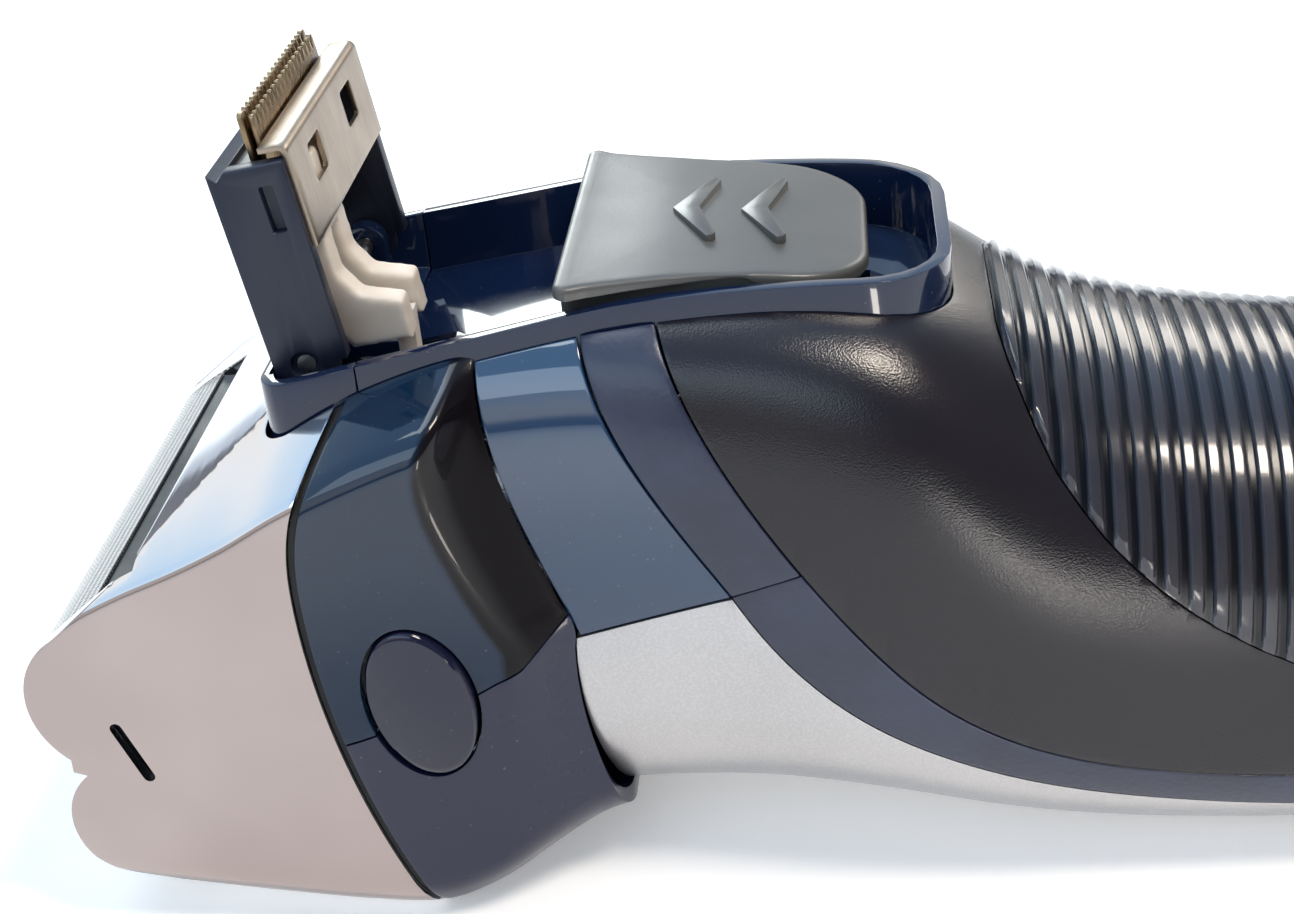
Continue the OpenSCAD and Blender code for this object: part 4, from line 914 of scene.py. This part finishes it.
def rib_lift(x, z):
    """Height of the ribs at a place on the grip: flat-topped, with rounded ends just inside the edge."""
    k = ((x - FIRST_RIB) / PITCH) % 1.0
    level = min(held((k - 0.02) / 0.12), held((0.72 - k) / 0.16))
    inside = min(z - read(GRIP_EDGE, min(x, GRIP_END), 0), 1.6) - 0.35 - 2 * (k - 0.37)**2
    end = held(inside / 0.7) if x < GRIP_END - 0.8 else 0.0
    return RIB * level * level * (3 - 2 * level) * math.sqrt(end)


rows = []
for i in range(int((GRIP_END - SEAM - GRIP_START) / PITCH * ROWS_PER_RIB) + 1):
    x = min(GRIP_START + PITCH * i / ROWS_PER_RIB, GRIP_END - SEAM)
    low = body_angle(x, min(read(GRIP_EDGE, max(x, 13.12), 0) - 1.5, along(BODY_TOP, x) - 3.5))
    turns = [180 - low + (2 * low - 180) * k / ROUND_GRIP for k in range(ROUND_GRIP + 1)]
    outside = [body_point(x, turn, rib_lift(x, body_point(x, turn)[2])) for turn in turns]
    rows.append(outside + [body_point(x, turn, -1.4) for turn in turns[::-3]])
grip = rolled("grip_ribs", rows)
carve(grip, side_block([(GRIP_END + 2, 66), (GRIP_END + 2, GRIP_LOW)] + GRIP_EDGE[::-1], 60), "INTERSECT")
bpy.ops.object.shade_smooth_by_angle(angle=math.radians(40))
smoke, tree, shader = finish_of("smoked clear plastic", wipe=(90.0, 0.12, 0.24), IOR=1.49,
    Coat_Roughness=0.1, Coat_IOR=1.6, Transmission_Weight=0.5, Specular_IOR_Level=0.3)
x_place = node(tree, "ShaderNodeSeparateXYZ", Vector=spot(tree)).outputs["X"]
share = reckon(tree, "FRACT", reckon(tree, "MULTIPLY_ADD", x_place, 1000 / PITCH, -FIRST_RIB / PITCH))
tint = clouded(tree, 90.0, 3.0, (0.054, 0.054, 0.072), (0.086, 0.082, 0.098))
# Painted shade and highlight: the grooves' base colour is near black, and a pale blue band on each rib's leading
# slope is a painted highlight.
groove_shade_mask = ramp(tree, share, [(0.0, 1.0), (1.0, 1.0), (0.1, 0.0), (0.66, 0.0), (0.82, 1.0)])
rib_edge_highlight = ramp(tree, share, [(0.02, 0.0), (0.2, 0.0), (0.08, 0.7), (0.14, 0.4)])
highlighted_tint = blend_colours(tree, rib_edge_highlight, tint, (0.16, 0.20, 0.27))
feed(shader, Base_Color=blend_colours(tree, groove_shade_mask, highlighted_tint, (0.008, 0.009, 0.014)),
    Coat_Weight=ramp(tree, groove_shade_mask, [(0.0, 0.45), (1.0, 0.0)]))
finished(grip, smoke, "housing", "smoke_clear", "grip_panel")

# ---------------- trimmer bay
# The bay's surround and the lip that carries the trimmer's hinge are glossy black mouldings with
# softly rounded rims, screwed to the chassis from inside.


def dressed(name, width, slot, body, material, steps=2, suffix="_finished"):
    """The finished form of a moulded or stamped solid: its facets are joined and its edges rounded."""
    piece = bpy.data.objects.new(name + suffix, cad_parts[name].data.copy())
    bpy.context.scene.collection.objects.link(piece)
    ease(piece, width, steps, weld=0.004, flat=0.6)
    return finished(piece, material, body, slot, name)


dressed("trimmer_deck", 0.35, "gloss_black", "housing", gloss_black, steps=3)
dressed("hinge_bracket", 0.11, "gloss_black", "housing", gloss_black)

# ---------------- springs
# Coils of drawn steel wire: one behind each cutter block, one behind each release button and one
# round the trimmer's pin. In use the foils press the cutters' coils in by 1.2 mm; here the cutters' coils only
# get a mesh of their own.
WIRE_EDGE = 0.09
coils = dressed("cutter_springs", WIRE_EDGE, "spring_steel", "bridge", steel, suffix="_coiled")
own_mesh(coils)
for name in ("release_spring_left", "release_spring_right", "trimmer_spring"):
    dressed(name, WIRE_EDGE, "spring_steel", "housing", steel, suffix="_coiled")

# ---------------- slide
# The trimmer slide is moulded in grey with a soft matt skin; two raised chevrons point to the head
# and its wider front edge overhangs the bay's rim. It snaps through the bay floor.
SLIDE_TOP = [(-28, 62.9), (-24, 62.5), (-16, 62.1), (-6, 61.3), (4, 59.6)]
WING = [(-28, 1), (-24, 1), (-20.5, 0.84), (-16, 0.68), (-12.5, 0.44), (-9.5, 0.34), (-7.5, 1), (4, 1)]
SLIDE_FRONT, NOSE, WING_HALF, WING_END = -26.4, 1.2, 17.4, -12.5
TAIL_X, TAIL_CORNER = -6.2, 8
SLIDE_MIDDLE, TOP_RINGS = -12, 22
RIM_RINGS = [(0.25, 1.3), (0, 1.15), (0, 0.55), (0.06, 0.3), (0.2, 0.13), (0.42, 0.03), (0.7, 0.0)]
CHEVRON = [(-1.2, 0), (2.3, 7.2), (2.9, 7.1), (3.2, 6.5), (1.4, 0)]
soft_grey = finish_of("soft grey", wipe=(60.0, 0.28, 0.36), skin=(3000.0, 4.0, 0.25, 0.00004),
    cloud=(70.0, 3.0, (0.09, 0.09, 0.086), (0.118, 0.118, 0.114), (0.3, 0.72)))[0]


def slide_half(x):
    """Half width of the slide between the bay's walls; it travels 5.5 towards the grip."""
    return rim_half(x + 5.5) - 1.65


def slide_outline(wing, front, inset=0.0):
    """Plan of the slide: its front corners and its big rear corners are rounded."""
    right = arc((SLIDE_FRONT + NOSE, front - NOSE, NOSE), 180, 90, 6)
    narrowing = slide_half(WING_END) - front
    right += [(SLIDE_FRONT + f * 13.9, front + narrowing * f - wing * math.sin(math.pi * f))
              for f in (0.2, 0.35, 0.5, 0.65, 0.8, 0.95)]
    right += [(x, slide_half(x)) for x in (-11, -9.5, -8)]
    right += arc((TAIL_X, slide_half(TAIL_X) - TAIL_CORNER, TAIL_CORNER), 88, 0, 11)
    right = right[:7] + [p for p, _ in ribbon(right[6:], right[6:], 54)][1:]
    plan = right + [(x, -y) for x, y in reversed(right)]
    inner = []
    for k, (x, y) in enumerate(plan):
        (ax, ay), (bx, by) = plan[k - 1], plan[(k + 1) % len(plan)]
        reach = inset / math.hypot(bx - ax, by - ay)
        inner.append((x + (by - ay) * reach, y - (bx - ax) * reach))
    return inner


def slide_top(x, y):
    """Height of the slide's top: it follows the handle and is a little domed."""
    return along(SLIDE_TOP, x) + 0.3 * max(1 - ((x + 12) / 15)**2, 0.0) * (1 - (y / 18)**2)


rings = [[(x, y, slide_top(x, y) - drop * along(WING, x)) for x, y in slide_outline(0.25, WING_HALF, inset)]
         for inset, drop in RIM_RINGS]
top = slide_outline(0.25, WING_HALF, 0.7)
for scale in [1 - k / TOP_RINGS for k in range(1, TOP_RINGS)]:
    plan = [(SLIDE_MIDDLE + (x - SLIDE_MIDDLE) * scale, y * scale) for x, y in top]
    rings.append([(x, y, slide_top(x, y)) for x, y in plan])
slide_plate = rolled("slide_plate", rings)
ease(slide_plate, 0)
sides = slide_outline(0, slide_half(SLIDE_FRONT), 0.3)
slide_body = rolled("slide_body", [[(x, y, 58.4) for x, y in sides],
    [(x, y, along(SLIDE_TOP, x) - 0.25) for x, y in sides]])
ease(slide_body, 0.25)
slide_neck = plan_block([(-12.6, -1.9), (-4.6, -1.9), (-4.6, 1.9), (-12.6, 1.9)], 52.4, 59)
arrows = []
for x0 in (-15.4, -8.9):
    level = along(SLIDE_TOP, x0 + 1)
    outline = moved(CHEVRON, x0) + [(x0 + x, -y) for x, y in reversed(CHEVRON[1:-1])]
    arrows.append(plan_block(outline, level - 0.6, level + 0.85))
    ease(arrows[-1], 0.16)
slide = joined("slide_finished", slide_plate, slide_body, slide_neck, *arrows)
finished(slide, soft_grey, "trimmer_slide", "matte_grey", "slide_button")

# ---------------- trimmer
# The pop-up trimmer: a matt navy arm on a steel pin, a stamped stainless plate with two windows,
# a ground comb and blade with a warm tint, and a cream nylon lever that drives the blade.
PIN_X, PIN_Z, ARM_LEAN = -50.2, 55.4, math.radians(8.3)
PLATE_HALF, PLATE_THICK, PLATE_STEPS = 14.8, 0.5, 24
WINDOW = [(0, 15.2), (0.3, 14.9), (4.1, 14.9), (4.4, 15.2), (4.4, 18.2), (4.1, 18.5), (0.3, 18.5), (0, 18.2)]
TOOTH_PITCH = 1.4
navy = matt("matt navy", (0.012, 0.017, 0.036), 0.36, 0.5)
dressed("trimmer_arm", 0.2, "navy_moulding", "trimmer", navy)


def on_arm(x, y, z):
    """A place on the open trimmer, from its hinge pin: x back, z up along the arm."""
    return (PIN_X + x * math.cos(ARM_LEAN) - z * math.sin(ARM_LEAN), y,
            PIN_Z + x * math.sin(ARM_LEAN) + z * math.cos(ARM_LEAN))


def through(a, b):
    """The push from x = a to x = b, square to the arm."""
    return tuple(q - p for p, q in zip(on_arm(a, 0, 0), on_arm(b, 0, 0)))


fold = [(2.0, 20.8), (2.6, 20.8), (3.3, 20.8)] + arc((3.72, 19.9, 0.9), 90, 0, 9)
fold += [(4.62, 19.9 - 8.9 * k / 16) for k in range(1, 17)]
across = [-PLATE_HALF + 2 * PLATE_HALF * j / PLATE_STEPS for j in range(PLATE_STEPS + 1)]
plate = sheet("trimmer_plate_stamped", [[on_arm(x, y, z) for y in across] for x, z in fold])
if plate.data.polygons[-1].normal.x < 0:
    plate.data.flip_normals()
shape(plate, "SOLIDIFY", thickness=PLATE_THICK * MM, offset=-1.0)
for y in (-9.2, 4.8):
    carve(plate, block("cutter", moved(WINDOW, y), through(3, 6), lambda p: on_arm(3, p[0], p[1])))
ease(plate, 0.07)
stainless, tree, shader = finish_of("stamped stainless", Metallic=1.0,
    cloud=(160.0, 4.0, (0.30, 0.235, 0.18), (0.41, 0.335, 0.26), (0.25, 0.75)))
lines = noise(tree, 260.0, 3.0, at=stretched(tree, spot(tree), (1, 14, 1)))
feed(shader, Roughness=ramp(tree, lines, [(0.3, 0.3), (0.7, 0.42)]))
finished(plate, stainless, "trimmer", "trimmer_steel", "trimmer_plate")


def mottled(name, cloud, smooth, rough, **values):
    """A finish whose colour and gloss drift together."""
    made, tree, shader = finish_of(name, cloud=cloud, **values)
    feed(shader, Roughness=clouded(tree, cloud[0], cloud[1], smooth, rough))
    return made


def toothed_steel(name, x, base, root, tip, half, wide, narrow, horn):
    """A ground strip with rounded, tapering teeth and a broader tooth at each end."""
    inner = half - horn
    count = int(round(2 * inner / TOOTH_PITCH))
    teeth = [(-half + horn / 2, horn, horn * 0.8)]
    teeth += [(2 * inner * (k + 0.5) / count - inner, wide, narrow) for k in range(count)]
    teeth.append((half - horn / 2, horn, horn * 0.8))
    outline = [(half, base), (-half, base)]
    for middle, foot, top in teeth:
        left = [(-foot / 2, root), (-top / 2, tip - 0.3), (-top / 3.4, tip - 0.06)]
        outline += moved(left + [(0, tip)] + [(-y, z) for y, z in reversed(left)], middle)
    strip = block(name, outline, through(x, x + 0.5), lambda p: on_arm(x, p[0], p[1]))
    ease(strip, 0.07, weld=0.004)
    return strip


comb_steel = mottled("tinted comb steel", (300.0, 4.0, (0.20, 0.13, 0.07), (0.40, 0.29, 0.17), (0.25, 0.75)),
    0.2, 0.36, Metallic=1.0)
comb = toothed_steel("trimmer_comb_ground", 0.3, 13.6, 21.6, 23.5, 12.6, 0.95, 0.8, 1.6)
finished(comb, comb_steel, "trimmer", "comb_steel", "trimmer_comb")
blade = toothed_steel("trimmer_blade_ground", 1.1, 15.6, 21.75, 23.0, 11.9, 0.9, 0.42, 0.9)
finished(blade, comb_steel, "trimmer_drive", "comb_steel", "trimmer_blade")
nylon = finish_of("cream nylon", cloud=(220.0, 3.0, (0.86, 0.75, 0.64), (0.93, 0.86, 0.77)), Roughness=0.45,
    Subsurface_Weight=0.25, Subsurface_Scale=0.001, Subsurface_Radius=(1.0, 0.8, 0.6))[0]
lever = dressed("trimmer_lever", 0, "nylon", "trimmer_drive", nylon)
shape(lever, "REMESH", mode="VOXEL", voxel_size=0.26 * MM)
shape(lever, "SMOOTH", factor=0.5, iterations=14)
bpy.ops.object.shade_smooth()
paint(nylon, "drive_bridge", "bridge_flexures")
paint(steel, "trimmer_pin")

# ---------------- power button and lamp
# The power button is a satin silver cap pushed through the front cover; beside it a milky lens
# spreads the light of the charge lamp.
dressed("power_button", 0.3, "satin_silver_plastic", "power", silver, steps=3)
milky = mottled("milky lens", (400.0, 2.0, (0.78, 0.79, 0.8), (0.88, 0.88, 0.88)), 0.25, 0.4,
    Transmission_Weight=0.4, IOR=1.5)
paint(milky, "charge_lamp_lens")

# ---------------- inside the handle
# The cell has a plain green shrink sleeve, the board a green solder mask, and the contacts and
# the eccentric are turned brass.
brass = mottled("turned brass", (300.0, 3.0, (0.60, 0.42, 0.17), (0.76, 0.58, 0.27)), 0.2, 0.36, Metallic=1.0)
paint(brass, "motor_eccentric", "socket_pins")
paint(mottled("shrink sleeve", (120.0, 3.0, (0.03, 0.16, 0.08), (0.05, 0.22, 0.12)), 0.22, 0.34), "battery")
mask, tree, shader = finish_of("solder mask", wipe=(80.0, 0.25, 0.4))
tracks = node(tree, "ShaderNodeTexBrick", Vector=spot(tree), Scale=160.0, Mortar_Size=0.08).outputs["Fac"]
feed(shader, Base_Color=blend_colours(tree, tracks, (0.01, 0.10, 0.045), (0.02, 0.16, 0.07)))
paint(mask, "circuit_board")

# ---------------- studio
# A plain pale floor under soft, even light from five lamps and a cool sky, with a small lamp close
# to the near flank for its edges, and the camera a little above the bench.
FLOOR_HEIGHT, FLOOR_LIFT = -0.00012, 0.31
pick()
bpy.ops.mesh.primitive_plane_add(size=6, location=(0, 0, FLOOR_HEIGHT))
floor = bpy.context.object
floor.name = "floor"
floor_finish, tree, shader = finish_of("pale floor", Base_Color=(0.9, 0.9, 0.9), Roughness=0.7,
    Emission_Color=(1.0, 1.0, 1.0))
floor.data.materials.append(floor_finish)


def backdrop_rays(tree):
    """1 for the rays that show the backdrop: the camera's, and those mirrored or let through."""
    path = node(tree, "ShaderNodeLightPath").outputs
    either = reckon(tree, "MAXIMUM", path["Is Camera Ray"], path["Is Transmission Ray"])
    return reckon(tree, "MAXIMUM", either, path["Is Glossy Ray"])


feed(shader, Emission_Strength=reckon(tree, "MULTIPLY", backdrop_rays(tree), FLOOR_LIFT))

# The sky is bright just over the horizon and blue above it, and darker on one side, so that
# polished faces show where they turn; the camera itself sees an even pale backdrop.
world = bpy.data.worlds.new("soft light")
world.use_nodes = True
bpy.context.scene.world = world
tree = world.node_tree
toward = node(tree, "ShaderNodeTexCoord").outputs["Generated"]
toward = node(tree, "ShaderNodeSeparateXYZ", Vector=toward).outputs
sky = ramp(tree, toward["Z"], [(0.0, (0.16, 0.17, 0.2)), (0.75, (0.42, 0.66, 1.0)),
    (0.06, (0.22, 0.23, 0.26)), (0.13, (0.95, 0.93, 0.9)), (0.28, (0.92, 0.96, 1.0)), (0.45, (0.66, 0.83, 1.0))])
aside = reckon(tree, "MULTIPLY_ADD", toward["Y"], -0.4, toward["X"])
shade = scaled(tree, aside, (0.12, 0.55), (1.0, 0.2))
sky = node(tree, "ShaderNodeVectorMath", {"operation": "SCALE"}, _0=sky, _3=shade).outputs[0]
seen = node(tree, "ShaderNodeLightPath").outputs["Is Camera Ray"]
feed(tree.nodes["Background"], Color=blend_colours(tree, seen, sky, (0.95, 0.97, 1.0)),
    Strength=scaled(tree, backdrop_rays(tree), (0.0, 1.0), (0.55, 1.0)))


def lamp(name, place, aim, size, power, colour):
    """A soft rectangular lamp turned towards a point."""
    pick()
    bpy.ops.object.light_add(type="AREA", location=place)
    made = bpy.context.object
    made.name = name
    made.data.shape = "RECTANGLE"
    made.data.size, made.data.size_y = size
    made.data.energy = power
    made.data.color = colour
    made.rotation_euler = (Vector(aim) - Vector(place)).to_track_quat("-Z", "Y").to_euler()


lamp("window", (-0.30, 0.92, 0.42), (0, 0, 0.05), (0.36, 0.28), 2.8, (0.93, 1.0, 0.98))
lamp("door", (0.40, 0.74, 0.42), (0, 0, 0.04), (0.24, 0.24), 0.9, (1.0, 0.91, 0.8))
lamp("ceiling", (0.34, -0.14, 0.80), (0, 0, 0.03), (0.2, 0.24), 4.9, (1.0, 0.89, 0.77))
lamp("skylight", (-0.22, 0.2, 0.8), (0, 0, 0.03), (0.5, 0.3), 1.6, (0.9, 0.97, 1.0))
lamp("softbox", (-0.4, -0.8, 0.75), (0, 0, 0.03), (1.1, 0.5), 2.6, (0.76, 0.89, 1.0))
lamp("edge light", (0.05, -0.122, 0.018), (-0.036, -0.027, 0.04), (0.012, 0.034), 0.018, (1.0, 0.93, 0.85))
bpy.context.object.visible_camera = False

scene = bpy.context.scene
scene.view_settings.view_transform = "Standard"
SENSOR, FRAME_WIDTH, FOCAL_LENGTH = 36, 1294, 2000
bpy.ops.object.camera_add()
camera = bpy.context.object
scene.camera = camera
camera.data.lens = FOCAL_LENGTH * SENSOR / FRAME_WIDTH
camera.data.sensor_width = SENSOR
camera.data.clip_start = 0.01
right, down, ahead = (0.99346, 0.0750, -0.08589), (-0.03796, -0.4928, -0.86931), (-0.10753, 0.8669, -0.48673)
stand = (0.0006, -0.1774, 0.1352)
axes = [(r, -d, -a, s) for r, d, a, s in zip(right, down, ahead, stand)]
camera.matrix_world = Matrix(axes + [(0, 0, 0, 1)])
